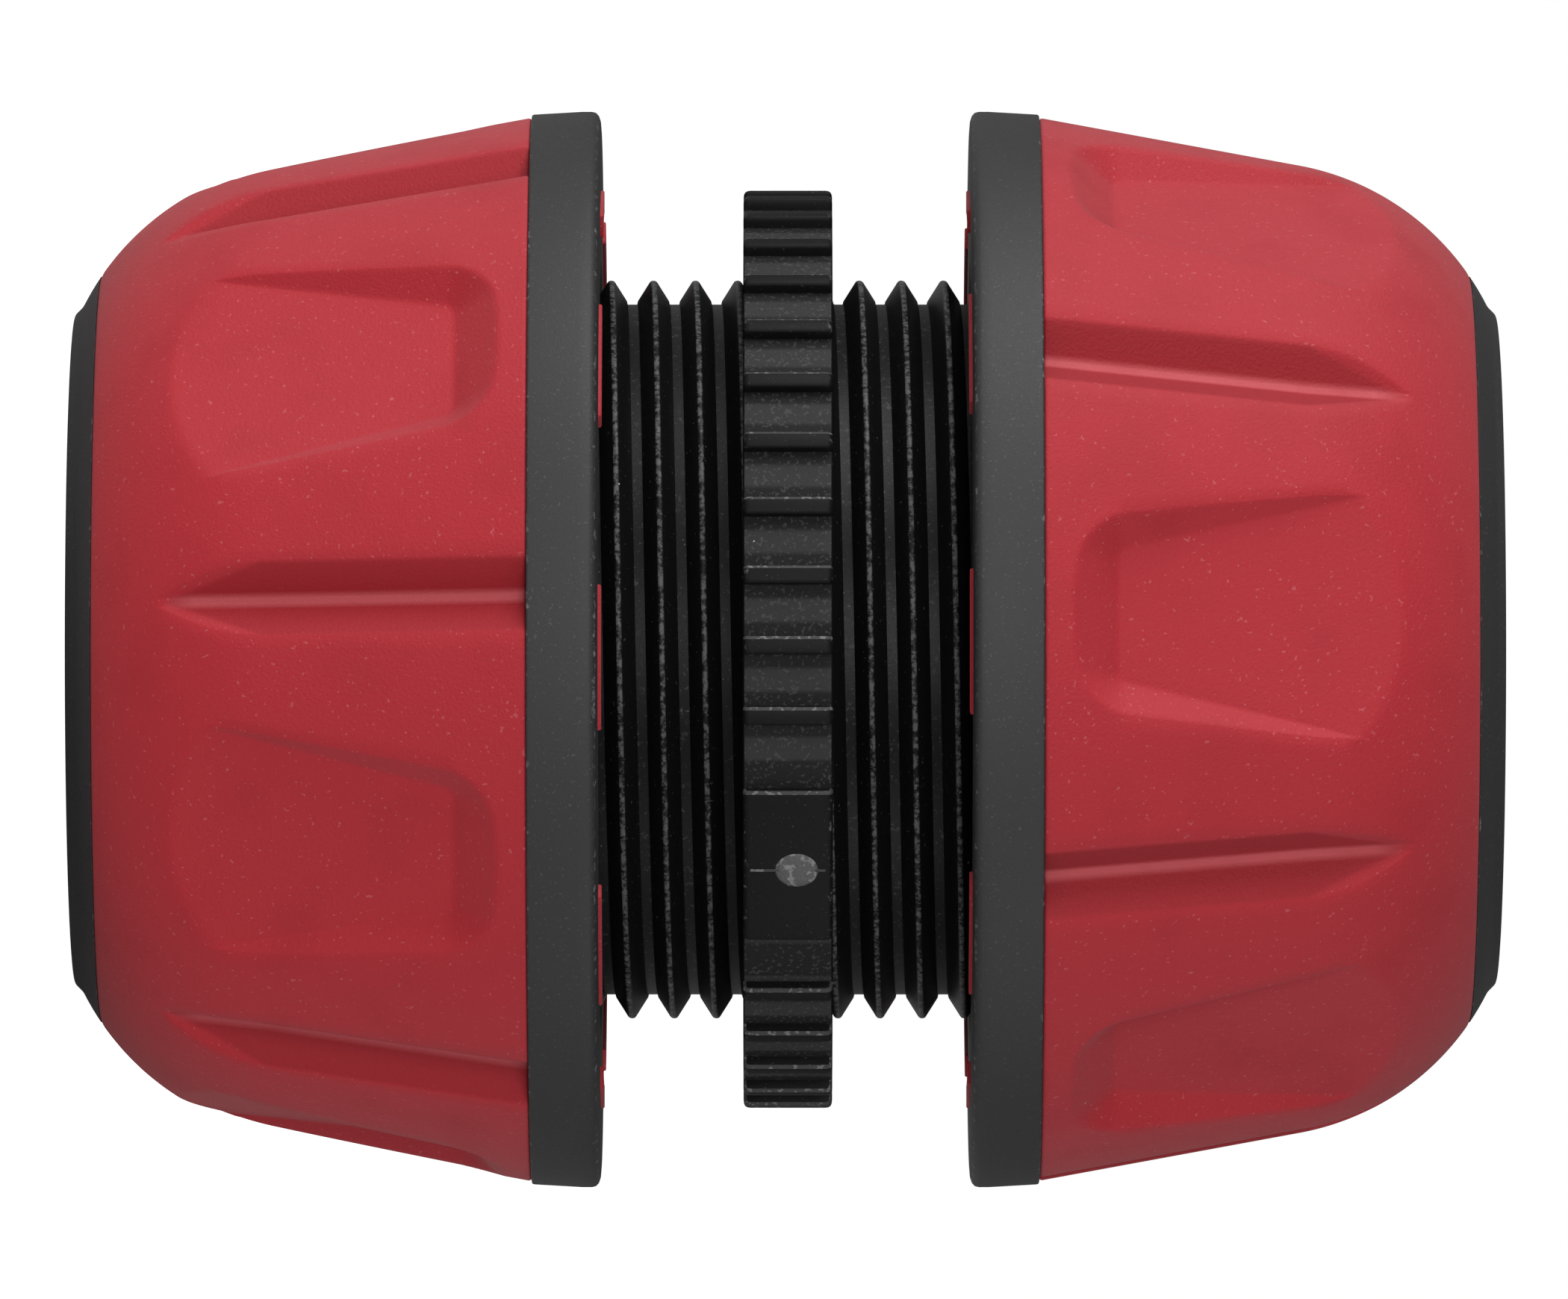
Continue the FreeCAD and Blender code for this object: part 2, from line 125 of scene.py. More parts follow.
class HOSECONNECTOR_PG_grip(bpy.types.PropertyGroup):
    """Sizes of a nut's soft grip."""

    flange_width: length("Flange Width", "Height at which the grip starts", 2.9)
    shoulder: length("Shoulder", "Height at which the grip ends at the end ring", 20.9)
    grip_radius: length("Grip Radius", "Radius of the plain grip at the flange", 22.25)
    cone_angle: slant("Cone Angle", "Taper of the grip", 10.4)
    cone_length: length("Cone Length", "Length of the tapered part", 10.9)
    nose_length: length("Nose Length", "Length of the rounded nose to the nut's end", 8.2)
    nose_end_radius: length("Nose End Radius", "Radius of the nose at the nut's end", 13.58)
    barrel_radius: length("Barrel Radius", "Radius of the core inside the grip", 17.9)
    barrel_length: length("Barrel Length", "Length of the core's barrel", 10.3)
    neck_radius: length("Neck Radius", "Radius of the core's neck", 14.3)
    neck_length: length("Neck Length", "Length of the core's neck", 1.0)
    flute_depth: length("Flute Depth", "Depth of the V flutes", 1.15)
    flute_valley: length("Flute Valley", "Width of a flute's valley", 0.34)
    # The painted highlight along a flute's valley reaches this far to each side.
    valley_highlight_reach: length("Valley Reach", "How far the valley's paler finish reaches to each side", 0.3)
    flute_slope: number("Flute Slope", "Sideways run of a flute's wall for its rise", 1.25)
    flute_on_nose: length("Flute On Nose", "How far a flute runs out on the nose", 4.2)
    pocket_start: length("Pocket Start", "Distance of the pockets from the flange", 3.0)
    pocket_depth: length("Pocket Depth", "Depth of the pockets at their start", 1.45)
    pocket_on_nose: length("Pocket On Nose", "How far a pocket runs out on the nose", 3.8)
    pocket_floor: length("Pocket Floor", "Width of a pocket's floor at its start", 5.45)
    pocket_spread: slant("Pocket Spread", "Spread of each of a pocket's sides", 12.5)
    pocket_corner: length("Pocket Corner", "Corner radius of a pocket's floor", 0.35)
    pocket_slope: number("Pocket Slope", "Sideways run of a pocket's wall for its rise", 1.3)
    edge_easing: length("Edge Easing", "Rounding of the flutes' and pockets' edges", 0.16)
    end_easing: length("End Easing", "Rounding of the grip's two ends", 0.16)


class HOSECONNECTOR_PG_core(bpy.types.PropertyGroup):
    """Sizes of a nut's core and its feed pads."""

    flange_radius: length("Flange Radius", "Radius of the flange", 22.5)
    flange_taper: length("Flange Taper", "How much the flange narrows towards the grip", 0.12)
    rim_easing: length("Rim Easing", "Rounding of the flange's rim", 0.7)
    relief_radius: length("Relief Radius", "Radius inside the nut, round the thread", 15.74)
    relief_length: length("Relief Length", "Depth of the threaded room", 13.4)
    mouth_chamfer: length("Mouth Chamfer", "Chamfer of the nut's mouth", 0.5)
    seat_radius: length("Seat Radius", "Radius of the collet's seat", 12.3)
    lip_height: length("Lip Height", "Height of the lip that holds the collet", 0.35)
    hole_radius: length("Hole Radius", "Radius of the hose hole", 10.3)
    hole_chamfer: length("Hole Chamfer", "Chamfer of the hose hole", 0.6)
    end_wall: length("End Wall", "Thickness of the nut's end wall", 1.8)
    end_edge: length("End Edge", "Chamfer at the rim of the end face", 0.35)
    pad_radius: length("Pad Radius", "Inner radius of the feed pads", 18.2)
    pad_width: length("Pad Width", "Radial width of the feed pads", 1.0)
    pad_proud: length("Pad Proud", "How far the pads stand out of the inner face", 0.14)
    pad_span: slant("Pad Span", "Angle that each feed pad covers", 18)
    pad_turn: slant("Pad Turn", "Angle of the first feed pad", 13)
    pad_easing: length("Pad Easing", "Rounding of the pads' edges", 0.07)
    pad_count: bpy.props.IntProperty(name="Pad Count", description="Number of feed pads", default=9)


class HOSECONNECTOR_PG_thread(bpy.types.PropertyGroup):
    """Sizes of the screw threads."""

    pitch: length("Pitch", "Rise of the thread in one turn", 1.76)
    root_radius: length("Root Radius", "Radius between the body thread's turns", 14.44)
    major_radius: length("Major Radius", "Radius of the body thread's crest", 15.44)
    crest_width: length("Crest Width", "Width of the thread's crest", 0.22)
    root_width: length("Root Width", "Width between the thread's turns", 0.28)
    crest_easing: length("Crest Easing", "Rounding of the crest's edges", 0.16)
    clearance: length("Clearance", "Clearance of the nut's thread", 0.20)


class HOSECONNECTOR_PG_body(bpy.types.PropertyGroup):
    """Sizes of the centre body."""

    ring_radius: length("Ring Radius", "Radius of the ribbed ring", 19.2)
    rib_height: length("Rib Height", "Height of the ring's ribs", 0.5)
    rib_width: length("Rib Width", "Width of the ring's ribs", 0.74)
    rib_step: slant("Rib Step", "Angle from one rib to the next", 8.75)
    ribs_per_half: bpy.props.IntProperty(
        name="Ribs Per Half", description="Number of ribs between two parting lines", default=17
    )
    land_half: slant("Land Half", "Half the angle of the plain land at a parting line", 10.5)
    parting_angle: slant("Parting Angle", "Angle of the parting line", -61.8)
    ring_easing: length("Ring Easing", "Rounding of the ring's corners", 0.28)
    rib_easing: length("Rib Easing", "Rounding of the ribs' edges", 0.13)
    seam_width: length("Seam Width", "Width of the parting line on the land", 0.12)
    gate_height: length("Gate Height", "Size of the gate mark along the coupling", 1.84)
    gate_width: length("Gate Width", "Size of the gate mark round the ring", 1.6)
    gate_offset: length("Gate Offset", "Distance of the gate mark from the ring's middle", 0.36)
    sleeve_end: length("Sleeve End", "Height of the threaded sleeve's end", 15.2)
    sleeve_bore: length("Sleeve Bore", "Bore radius of the sleeve", 11.9)
    sleeve_flare: length("Sleeve Flare", "How much the sleeve's bore widens to its end", 1.0)
    sleeve_taper: length("Sleeve Taper", "Length over which the bore widens", 6.0)
    sleeve_chamfer: length("Sleeve Chamfer", "Chamfer at the start of the thread", 1.1)
    web_thickness: length("Web Thickness", "Thickness of the wall inside the ring", 3.2)
    spigot_end: length("Spigot End", "Height of the spigot's tip", 24.0)
    spigot_root: length("Spigot Root", "Radius of the plain part of the spigot", 6.775)
    barb_radius: length("Barb Radius", "Radius of the barbs", 7.1)
    barb_height: length("Barb Height", "Height of the barbs", 0.65)
    barb_step: length("Barb Step", "Distance from one barb to the next", 3.3)
    barb_land: length("Barb Land", "Width of a barb's crest", 0.35)
    tip_radius: length("Tip Radius", "Radius of the spigot's tip", 5.9)
    tip_lead: length("Tip Lead", "Length of the spigot's lead", 2.2)
    water_way: length("Water Way", "Radius of the water way", 4.75)


class HOSECONNECTOR_PG_collet(bpy.types.PropertyGroup):
    """Sizes of the slotted collets."""

    top: length("Top", "Height of the collet's flange face", 20.05)
    collet_length: length("Collet Length", "Length of the collet", 12.2)
    radius: length("Radius", "Outer radius of the fingers", 11.35)
    bore: length("Bore", "Bore radius", 10.55)
    flange_radius: length("Collet Flange", "Radius of the collet's flange", 12.1)
    flange_width: length("Collet Flange Width", "Width of the collet's flange", 1.5)
    rim_length: length("Rim Length", "Length of the part without slots", 3.6)
    tip_chamfer: length("Tip Chamfer", "Chamfer at the fingers' tips", 0.4)
    tooth_step: length("Tooth Step", "Distance from one tooth to the next", 1.5)
    tooth_height: length("Tooth Height", "Height of a tooth", 0.5)
    grip: length("Grip", "How far the teeth stand into the bore", 0.95)
    slot_angle: slant("Slot Angle", "Angle of the slot between two fingers", 6.6)
    finger_count: bpy.props.IntProperty(
        name="Finger Count", description="Number of fingers", default=8
    )


class HOSECONNECTOR_PG_finish(bpy.types.PropertyGroup):
    """Colours of the finishes."""

    grip_red: colour("Grip Red", "Colour of the soft grip", (0.40, 0.016, 0.026))
    # A painted highlight along the bottom of the flutes.
    valley_red: colour("Valley Red", "Colour along the bottom of the flutes", (0.50, 0.080, 0.093))
    # Painted shade on the flutes' walls.
    wall_red: colour("Wall Red", "Colour of the flutes' walls", (0.31, 0.010, 0.017))
    # Pale colour for the grain's specks and for a painted sheen on the grip at grazing angles.
    grip_bloom: colour("Grip Specks And Sheen", "Pale bloom on the soft grip's edges", (0.60, 0.20, 0.22))
    nut_black: colour("Nut Black", "Colour of the nuts' cores", (0.020, 0.020, 0.0215))
    thread_black: colour("Thread Black", "Colour of the threads", (0.005, 0.005, 0.0055))
    rib_black: colour("Rib Black", "Colour of the ring's ribs", (0.0055, 0.0055, 0.006))
    # A painted highlight on the ribs' eased edges on one side; the parting seams take it as their own
    # grey.
    rib_edge_highlight: colour("Rib Edge", "Colour of the ribs' rubbed edges", (0.045, 0.045, 0.046))
    gate_grey: colour("Gate Grey", "Colour of the gate mark", (0.075, 0.075, 0.077))
    # Painted light: the lit band on the floor between the ring's ribs.
    recess_grey: colour("Recess Grey", "Colour between the ring's ribs", (0.026, 0.026, 0.027))
    # Also the colour of the grain's pale specks and of the painted highlight lines along the threads.
    worn_grey: colour("Worn And Highlight Grey", "Colour of scuffed edges", (0.22, 0.22, 0.225))
    dust: colour("Dust", "Colour of dust specks", (0.60, 0.60, 0.60))
    collet_pale: colour("Collet Pale", "Colour of the collets", (0.62, 0.62, 0.60))


class HOSECONNECTOR_PG_stage(bpy.types.PropertyGroup):
    """Camera and studio."""

    distance: bpy.props.FloatProperty(
        name="Distance", description="Distance of the camera", default=0.9, unit="LENGTH"
    )
    framing: length("Framing", "Width that the picture shows at the coupling", 65.62)
    centre: length("Centre", "Height at the middle of the picture", 29.64)
    key_power: number("Key Power", "Power of the large soft light beside the camera, in watts", 8.2)
    top_power: number("Top Power", "Power of the overhead soft light, in watts", 6.4)
    fill_power: number("Fill Power", "Power of the fill light, in watts", 2.2)
    ambient: number("Ambient", "Strength of the light from all round", 0.19)


GROUPS = {
    "hose_connector_grip": HOSECONNECTOR_PG_grip,
    "hose_connector_core": HOSECONNECTOR_PG_core,
    "hose_connector_thread": HOSECONNECTOR_PG_thread,
    "hose_connector_body": HOSECONNECTOR_PG_body,
    "hose_connector_collet": HOSECONNECTOR_PG_collet,
    "hose_connector_finish": HOSECONNECTOR_PG_finish,
    "hose_connector_stage": HOSECONNECTOR_PG_stage,
}


# Node trees written as formulas


class Value:
    """A number that changes over a surface. The usual signs stand for Math nodes."""

    def __init__(self, tree, socket):
        self.tree = tree
        self.socket = socket

    def __lt__(self, other):
        return self.tree.math("LESS_THAN", self, other)

    def __gt__(self, other):
        return self.tree.math("GREATER_THAN", self, other)


def value_sign(operation, swapped):
    """A sign's method, swapped where the value stands to the right of the sign."""

    def method(self, other):
        values = (other, self) if swapped else (self, other)
        return self.tree.math(operation, *values)

    return method


SIGNS = {"add": "ADD", "sub": "SUBTRACT", "mul": "MULTIPLY", "truediv": "DIVIDE"}
for sign, operation in SIGNS.items():
    setattr(Value, f"__{sign}__", value_sign(operation, False))
    setattr(Value, f"__r{sign}__", value_sign(operation, True))


class Tree:
    """A node tree: geometry nodes, a shader group or a material's own nodes."""

    def __init__(self, group):
        self.group = group

    def plug(self, value, socket):
        if isinstance(value, Value):
            value = value.socket
        if isinstance(value, bpy.types.NodeSocket):
            self.group.links.new(value, socket)
        else:
            socket.default_value = value

    def add(self, kind, inputs=None, **settings):
        node = self.group.nodes.new(kind)
        for name, value in settings.items():
            setattr(node, name, value)
        for name, value in (inputs or {}).items():
            self.plug(value, node.inputs[name])
        return node

    def math(self, operation, *values, clamp=False):
        node = self.add("ShaderNodeMath", dict(enumerate(values)), operation=operation, use_clamp=clamp)
        return Value(self, node.outputs[0])

    def share(self, value, low, high):
        """0 below low, 1 above high and even in between."""
        return self.math("DIVIDE", value - low, high - low, clamp=True)

    def either(self, test, yes, no):
        return test * yes + (1.0 - test) * no

    def parts(self, vector):
        node = self.add("ShaderNodeSeparateXYZ", {0: vector})
        return [Value(self, socket) for socket in node.outputs]

    def together(self, x, y, z):
        return self.add("ShaderNodeCombineXYZ", {0: x, 1: y, 2: z}).outputs[0]

    def hypot(self, x, y):
        return self.math("SQRT", x * x + y * y)

    def cos_sin(self, angle):
        return self.math("COSINE", angle), self.math("SINE", angle)

    def placed(self, geometry, x, y, z):
        """The geometry with its points at these places."""
        inputs = {"Geometry": geometry, "Position": self.together(x, y, z)}
        return self.add("GeometryNodeSetPosition", inputs).outputs[0]

    def place(self):
        """Object coordinates, in a shader."""
        return self.add("ShaderNodeTexCoord").outputs["Object"]

    def noise(self, scale, detail, roughness=0.5):
        inputs = {"Vector": self.place(), "Scale": scale, "Detail": detail, "Roughness": roughness}
        return Value(self, self.add("ShaderNodeTexNoise", inputs).outputs[0])


def new_group(name, kind, inputs, outputs):
    """An empty node group with named sockets, given as (name, socket type, default)."""
    tree = Tree(bpy.data.node_groups.new(name, kind))
    for in_out, sockets in (("INPUT", inputs), ("OUTPUT", outputs)):
        for socket_name, socket_type, default in sockets:
            item = tree.group.interface.new_socket(
                name=socket_name, in_out=in_out, socket_type=socket_type
            )
            if default is not None:
                item.default_value = default
    entry = tree.group.nodes.new("NodeGroupInput")
    tree.exit = tree.group.nodes.new("NodeGroupOutput")
    tree.entry = {name: Value(tree, entry.outputs[name]) for name, _, _ in inputs}
    return tree


def geometry_group(name, numbers, takes_mesh=False):
    """A geometry node group with a mesh input if asked, number inputs and a material input."""
    inputs = [("Geometry", "NodeSocketGeometry", None)] if takes_mesh else []
    inputs += [(label, "NodeSocketFloat", default) for label, default in numbers]
    inputs.append(("Material", "NodeSocketMaterial", None))
    return new_group(name, "GeometryNodeTree", inputs, [("Geometry", "NodeSocketGeometry", None)])


def finish_group(tree, geometry, sharp_angle=SHARP_ANGLE):
    """Ends a geometry tree: smooth but for its sharp edges, real geometry, and its material."""
    smooth = tree.add("GeometryNodeSetShadeSmooth", {0: geometry})
    angle = tree.add("GeometryNodeInputMeshEdgeAngle")
    sharp = tree.add(
        "GeometryNodeSetShadeSmooth",
        {
            0: smooth.outputs[0],
            "Selection": Value(tree, angle.outputs[0]) > sharp_angle,
            "Shade Smooth": False,
        },
        domain="EDGE",
    )
    real = tree.add("GeometryNodeRealizeInstances", {"Geometry": sharp.outputs[0]})
    finished = tree.add(
        "GeometryNodeSetMaterial",
        {"Geometry": real.outputs[0], "Material": tree.entry["Material"]},
    )
    tree.plug(finished.outputs[0], tree.exit.inputs[0])
    return tree.group


def sizes(settings):
    """The numbers of a group of settings, by the names that the sidebar shows."""
    return {
        rule.name: getattr(settings, rule.identifier)
        for rule in settings.bl_rna.properties
        if rule.type in {"FLOAT", "INT"} and not rule.is_array
    }


def grown(name, group, values, material, mesh=None):
    """The plain mesh that a geometry node group makes."""
    holder = bpy.data.objects.new(name, mesh or bpy.data.meshes.new(name))
    bpy.context.scene.collection.objects.link(holder)
    modifier = holder.modifiers.new(name, "NODES")
    modifier.node_group = group
    values = dict(values, Material=material)
    for item in group.interface.items_tree:
        if item.in_out == "INPUT" and item.name in values:
            modifier[item.identifier] = values[item.name]
    depsgraph = bpy.context.evaluated_depsgraph_get()
    plain = bpy.data.meshes.new_from_object(holder.evaluated_get(depsgraph))
    bpy.data.objects.remove(holder)
    if not plain.polygons:
        raise RuntimeError(f"{name}: the node tree made no faces")
    return plain


# Geometry trees


# Mesh columns over half a flute's valley, its wall, the land, a pocket's wall and half its floor
GRIP_COLUMNS = (2, 9, 8, 11, 12)
GRIP_ROWS = 150
CORNER_ROWS = 4
GRIP_COUNT = 6


def grip_group(settings):
    """The soft grip: a tapered ring with flutes and finger pockets, worked out point by point."""
    tree = geometry_group("Soft Grip", sizes(settings).items())
    s = tree.entry
    half_columns = sum(GRIP_COLUMNS)
    columns = 2 * GRIP_COUNT * half_columns
    last_outer = 2 * CORNER_ROWS + GRIP_ROWS
    rows = last_outer + 5
    grid = tree.add(
        "GeometryNodeMeshGrid",
        {"Size X": 1.0, "Size Y": 1.0, "Vertices X": columns + 1, "Vertices Y": rows + 1},
    )
    across, along, _ = tree.parts(tree.add("GeometryNodeInputPosition").outputs[0])
    sector = (across + 0.5) * float(GRIP_COUNT)
    row = (along + 0.5) * float(rows)
    row = row - (row > rows - 0.5) * float(rows)

    # Heights of the rows, with a rounded corner at each end
    first = tree.share(CORNER_ROWS - row, 0.0, float(CORNER_ROWS)) * (math.pi / 2)
    last = tree.share(row, float(CORNER_ROWS + GRIP_ROWS), float(last_outer)) * (math.pi / 2)
    outer_share = tree.share(row, float(CORNER_ROWS), float(CORNER_ROWS + GRIP_ROWS))
    easing = s["End Easing"]
    run = s["Shoulder"] - s["Flange Width"] - easing * 2.0
    cos_first, sin_first = tree.cos_sin(first)
    cos_last, sin_last = tree.cos_sin(last)
    z = s["Flange Width"] + easing + run * outer_share + easing * (sin_last - sin_first)
    drop = easing * (2.0 - cos_first - cos_last)

    # Plain grip: a cone and a nose that leaves it without a kink
    cone = tree.math("TANGENT", s["Cone Angle"])
    cos_cone, sin_cone = tree.cos_sin(s["Cone Angle"])
    nose_z = s["Flange Width"] + s["Cone Length"]
    nose_start_r = s["Grip Radius"] - s["Cone Length"] * cone
    fall = nose_start_r - s["Nose End Radius"]
    nose_radius = (fall * fall + s["Nose Length"] * s["Nose Length"]) / (
        (fall * cos_cone - s["Nose Length"] * sin_cone) * 2.0
    )
    centre_r = nose_start_r - nose_radius * cos_cone
    centre_z = nose_z - nose_radius * sin_cone

    def nose_r(height):
        rise = height - centre_z
        return centre_r + tree.math("SQRT", nose_radius * nose_radius - rise * rise)

    def plain_r(height):
        cone_r = nose_start_r + (nose_z - height) * cone
        return tree.either(height < nose_z, cone_r, nose_r(height))

    plain = plain_r(z)
    on_cone = z < nose_z

    # Flute floor: along the cone, then rising to a point on the nose
    flute_bend_r = nose_start_r - s["Flute Depth"]
    rise = (flute_bend_r - nose_r(nose_z + s["Flute On Nose"])) / s["Flute On Nose"]
    flute_floor = flute_bend_r - tree.either(on_cone, cone, rise) * (z - nose_z)

    # Pocket floor: a tilted plane from the pocket's start to where it meets the nose
    start_z = s["Flange Width"] + s["Pocket Start"]
    end_z = nose_z + s["Pocket On Nose"]
    floor_r = plain_r(start_z) - s["Pocket Depth"]
    tilt = tree.math("ARCTAN2", floor_r - plain_r(end_z), end_z - start_z)
    cos_tilt, sin_tilt = tree.cos_sin(tilt)
    spread = tree.math("TANGENT", s["Pocket Spread"])
    cos_spread = tree.math("COSINE", s["Pocket Spread"])
    half_floor = s["Pocket Floor"] / 2.0

    def pocket_place(x):
        """How far along the floor and how high above it a point at this height and distance lies."""
        dx, dz = x - floor_r, z - start_z
        return dz * cos_tilt - dx * sin_tilt, dx * cos_tilt + dz * sin_tilt

    # Columns that follow the edges of the flutes and the pockets
    nearest = tree.math("ROUND", sector)
    side = sector - nearest
    place = tree.math("ABSOLUTE", side) * (2.0 * half_columns)
    valley = s["Flute Valley"] / 2.0
    least_rise = 0.15 * MM
    flute_rise = tree.math("MAXIMUM", plain - flute_floor, least_rise)
    flute_edge = (valley + s["Flute Slope"] * flute_rise) / plain
    edge_x = plain * 0.97
    for _ in range(2):
        pocket_along, pocket_rise = pocket_place(edge_x)
        pocket_rise = tree.math("MAXIMUM", pocket_rise, least_rise)
        floor_edge_y = half_floor + pocket_along * spread
        edge_y = floor_edge_y + s["Pocket Slope"] * pocket_rise / cos_spread
        pocket_edge = tree.math("ARCSINE", edge_y / plain)
        edge_x = plain * tree.math("COSINE", pocket_edge)
    floor_edge = tree.math("ARCSINE", floor_edge_y / plain)
    sixth = math.pi / GRIP_COUNT
    marks = [valley / plain, flute_edge, sixth - pocket_edge, sixth - floor_edge, sixth]
    from_flute, before, column = 0.0, 0.0, 0
    for count, mark in zip(GRIP_COLUMNS, marks):
        step = mark - before
        from_flute = step * tree.share(place, float(column), float(column + count)) + from_flute
        before, column = mark, column + count
    angle = nearest * (2 * sixth) + tree.math("SIGN", side) * from_flute
    from_pocket = sixth - from_flute

    # Flute surface
    cos_flute, sin_flute = tree.cos_sin(from_flute)
    wall = (flute_floor - valley / s["Flute Slope"]) / (cos_flute - sin_flute / s["Flute Slope"])
    flute_r = tree.math("SMOOTH_MAX", flute_floor / cos_flute, wall, 0.05 * MM)

    # Pocket surface: the floor, and walls that rise with the distance from the floor's outline
    cos_pocket, sin_pocket = tree.cos_sin(from_pocket)
    corner = s["Pocket Corner"]
    pocket_r = plain
    for _ in range(4):
        pocket_along, _ = pocket_place(pocket_r * cos_pocket)
        beside = (pocket_r * sin_pocket - half_floor - pocket_along * spread) * cos_spread + corner
        ahead = corner - pocket_along
        out = tree.hypot(tree.math("MAXIMUM", beside, 0.0), tree.math("MAXIMUM", ahead, 0.0))
        inside = tree.math("MINIMUM", tree.math("MAXIMUM", beside, ahead), 0.0)
        distance = out + inside - corner
        wall_rise = tree.math("SMOOTH_MAX", distance, 0.0, 0.12 * MM) / s["Pocket Slope"]
        pocket_x = floor_r + (wall_rise - (z - start_z) * sin_tilt) / cos_tilt
        pocket_r = tree.math("MINIMUM", pocket_x / cos_pocket, plain * 1.05)

    radius = tree.math("SMOOTH_MIN", plain, flute_r, s["Edge Easing"])
    radius = tree.math("SMOOTH_MIN", radius, pocket_r, s["Edge Easing"]) - drop

    # The rows that close the ring along the core
    closing = row > last_outer + 0.5
    on_neck = row < last_outer + 2.5
    inner_r = tree.either(on_neck, s["Neck Radius"], s["Barrel Radius"])
    neck_z = s["Shoulder"] - s["Neck Length"] * (row > last_outer + 1.5)
    barrel_z = s["Flange Width"] + s["Barrel Length"] * (row < last_outer + 3.5)
    radius = tree.either(closing, inner_r, radius)
    z = tree.either(closing, tree.either(on_neck, neck_z, barrel_z), z)
    cos_angle, sin_angle = tree.cos_sin(angle)
    placed = tree.placed(grid.outputs[0], radius * cos_angle, radius * sin_angle, z)
    merged = tree.add("GeometryNodeMergeByDistance", {"Geometry": placed, "Distance": 1e-6})
    return finish_group(tree, merged.outputs[0], math.radians(50))


def around_group():
    """Copies of a mesh about Z, in one or more groups that share the turn evenly."""
    numbers = [("Count", 8.0), ("Step", 0.1), ("Groups", 1.0), ("First Angle", 0.0)]
    tree = geometry_group("Repeat Around", numbers, takes_mesh=True)
    s = tree.entry
    points = tree.add("GeometryNodePoints", {"Count": s["Count"] * s["Groups"]})
    index = Value(tree, tree.add("GeometryNodeInputIndex").outputs[0])
    group = tree.math("FLOOR", (index + 0.5) / s["Count"])
    angle = s["First Angle"] + (index - group * s["Count"]) * s["Step"] + group * TURN / s["Groups"]
    rotation = tree.add("FunctionNodeEulerToRotation", {0: tree.together(0.0, 0.0, angle)})
    copies = tree.add(
        "GeometryNodeInstanceOnPoints",
        {"Points": points.outputs[0], "Instance": s["Geometry"], "Rotation": rotation.outputs[0]},
    )
    real = tree.add("GeometryNodeRealizeInstances", {"Geometry": copies.outputs[0]})
    index = Value(tree, tree.add("GeometryNodeInputMaterialIndex").outputs[0])
    painted = tree.add(
        "GeometryNodeSetMaterial",
        {"Geometry": real.outputs[0], "Selection": index < 0.5, "Material": s["Material"]},
    )
    tree.plug(painted.outputs[0], tree.exit.inputs[0])
    return tree.group


def repeated(name, mesh, material, count, step, groups=1.0, first=0.0):
    """Copies of a mesh about Z, as one plain mesh."""
    group = bpy.data.node_groups.get("Repeat Around") or around_group()
    spread = {"Count": float(count), "Step": step, "Groups": groups, "First Angle": first}
    return grown(name, group, spread, material, mesh)


def thread_group():
    """A right-hand helical ridge with eased crests, kept below a chamfer at its end."""
    numbers = [
        ("Pitch", 1.76 * MM), ("Turns", 3.0), ("Foot Radius", 14.2 * MM), ("Crest Radius", 15.4 * MM),
        ("Foot Width", 1.3 * MM), ("Crest Width", 0.3 * MM), ("Crest Easing", 0.1 * MM),
        ("Start Height", 0.0), ("End Height", NO_LIMIT), ("End Radius", NO_LIMIT),
    ]
    tree = geometry_group("Screw Thread", numbers)
    s = tree.entry
    helix = tree.add(
        "GeometryNodeCurveSpiral",
        {
            "Resolution": 110, "Rotations": s["Turns"], "Start Radius": s["Foot Radius"],
            "End Radius": s["Foot Radius"], "Height": s["Pitch"] * s["Turns"], "Reverse": True,
        },
    )
    upright = tree.add("GeometryNodeSetCurveNormal", {"Curve": helix.outputs[0]}, mode="Z_UP")
    height = s["Crest Radius"] - s["Foot Radius"]
    section = tree.add(
        "GeometryNodeCurvePrimitiveQuadrilateral",
        {
            "Height": tree.math("ABSOLUTE", height), "Bottom Width": s["Foot Width"],
            "Top Width": s["Crest Width"], "Offset": 0.0,
        },
        mode="TRAPEZOID",
    )
    rounded = tree.add(
        "GeometryNodeFilletCurve",
        {"Curve": section.outputs[0], "Count": 3, "Radius": s["Crest Easing"], "Limit Radius": True},
        mode="POLY",
    )
    outwards = tree.math("SIGN", height)
    section_turn = tree.together(0.0, 0.0, outwards * (-math.pi / 2))
    standing = tree.add(
        "GeometryNodeTransform",
        {
            "Geometry": rounded.outputs[0],
            "Translation": tree.together(height / 2.0, 0.0, 0.0),
            "Rotation": tree.add("FunctionNodeEulerToRotation", {0: section_turn}).outputs[0],
        },
    )
    ridge = tree.add(
        "GeometryNodeCurveToMesh",
        {"Curve": upright.outputs[0], "Profile Curve": standing.outputs[0], "Fill Caps": True},
    )
    x, y, z = tree.parts(tree.add("GeometryNodeInputPosition").outputs[0])
    z = tree.math("MINIMUM", z + s["Start Height"], s["End Height"])
    radius = tree.hypot(x, y)
    kept = tree.math("MINIMUM", radius, s["End Radius"] + s["End Height"] - z) / radius
    return finish_group(tree, tree.placed(ridge.outputs[0], x * kept, y * kept, z))


def screw_thread(name, material, values):
    """A helical ridge as a plain mesh. Its sizes are named as in the node tree."""
    group = bpy.data.node_groups.get("Screw Thread") or thread_group()
    return grown(name, group, values, material)


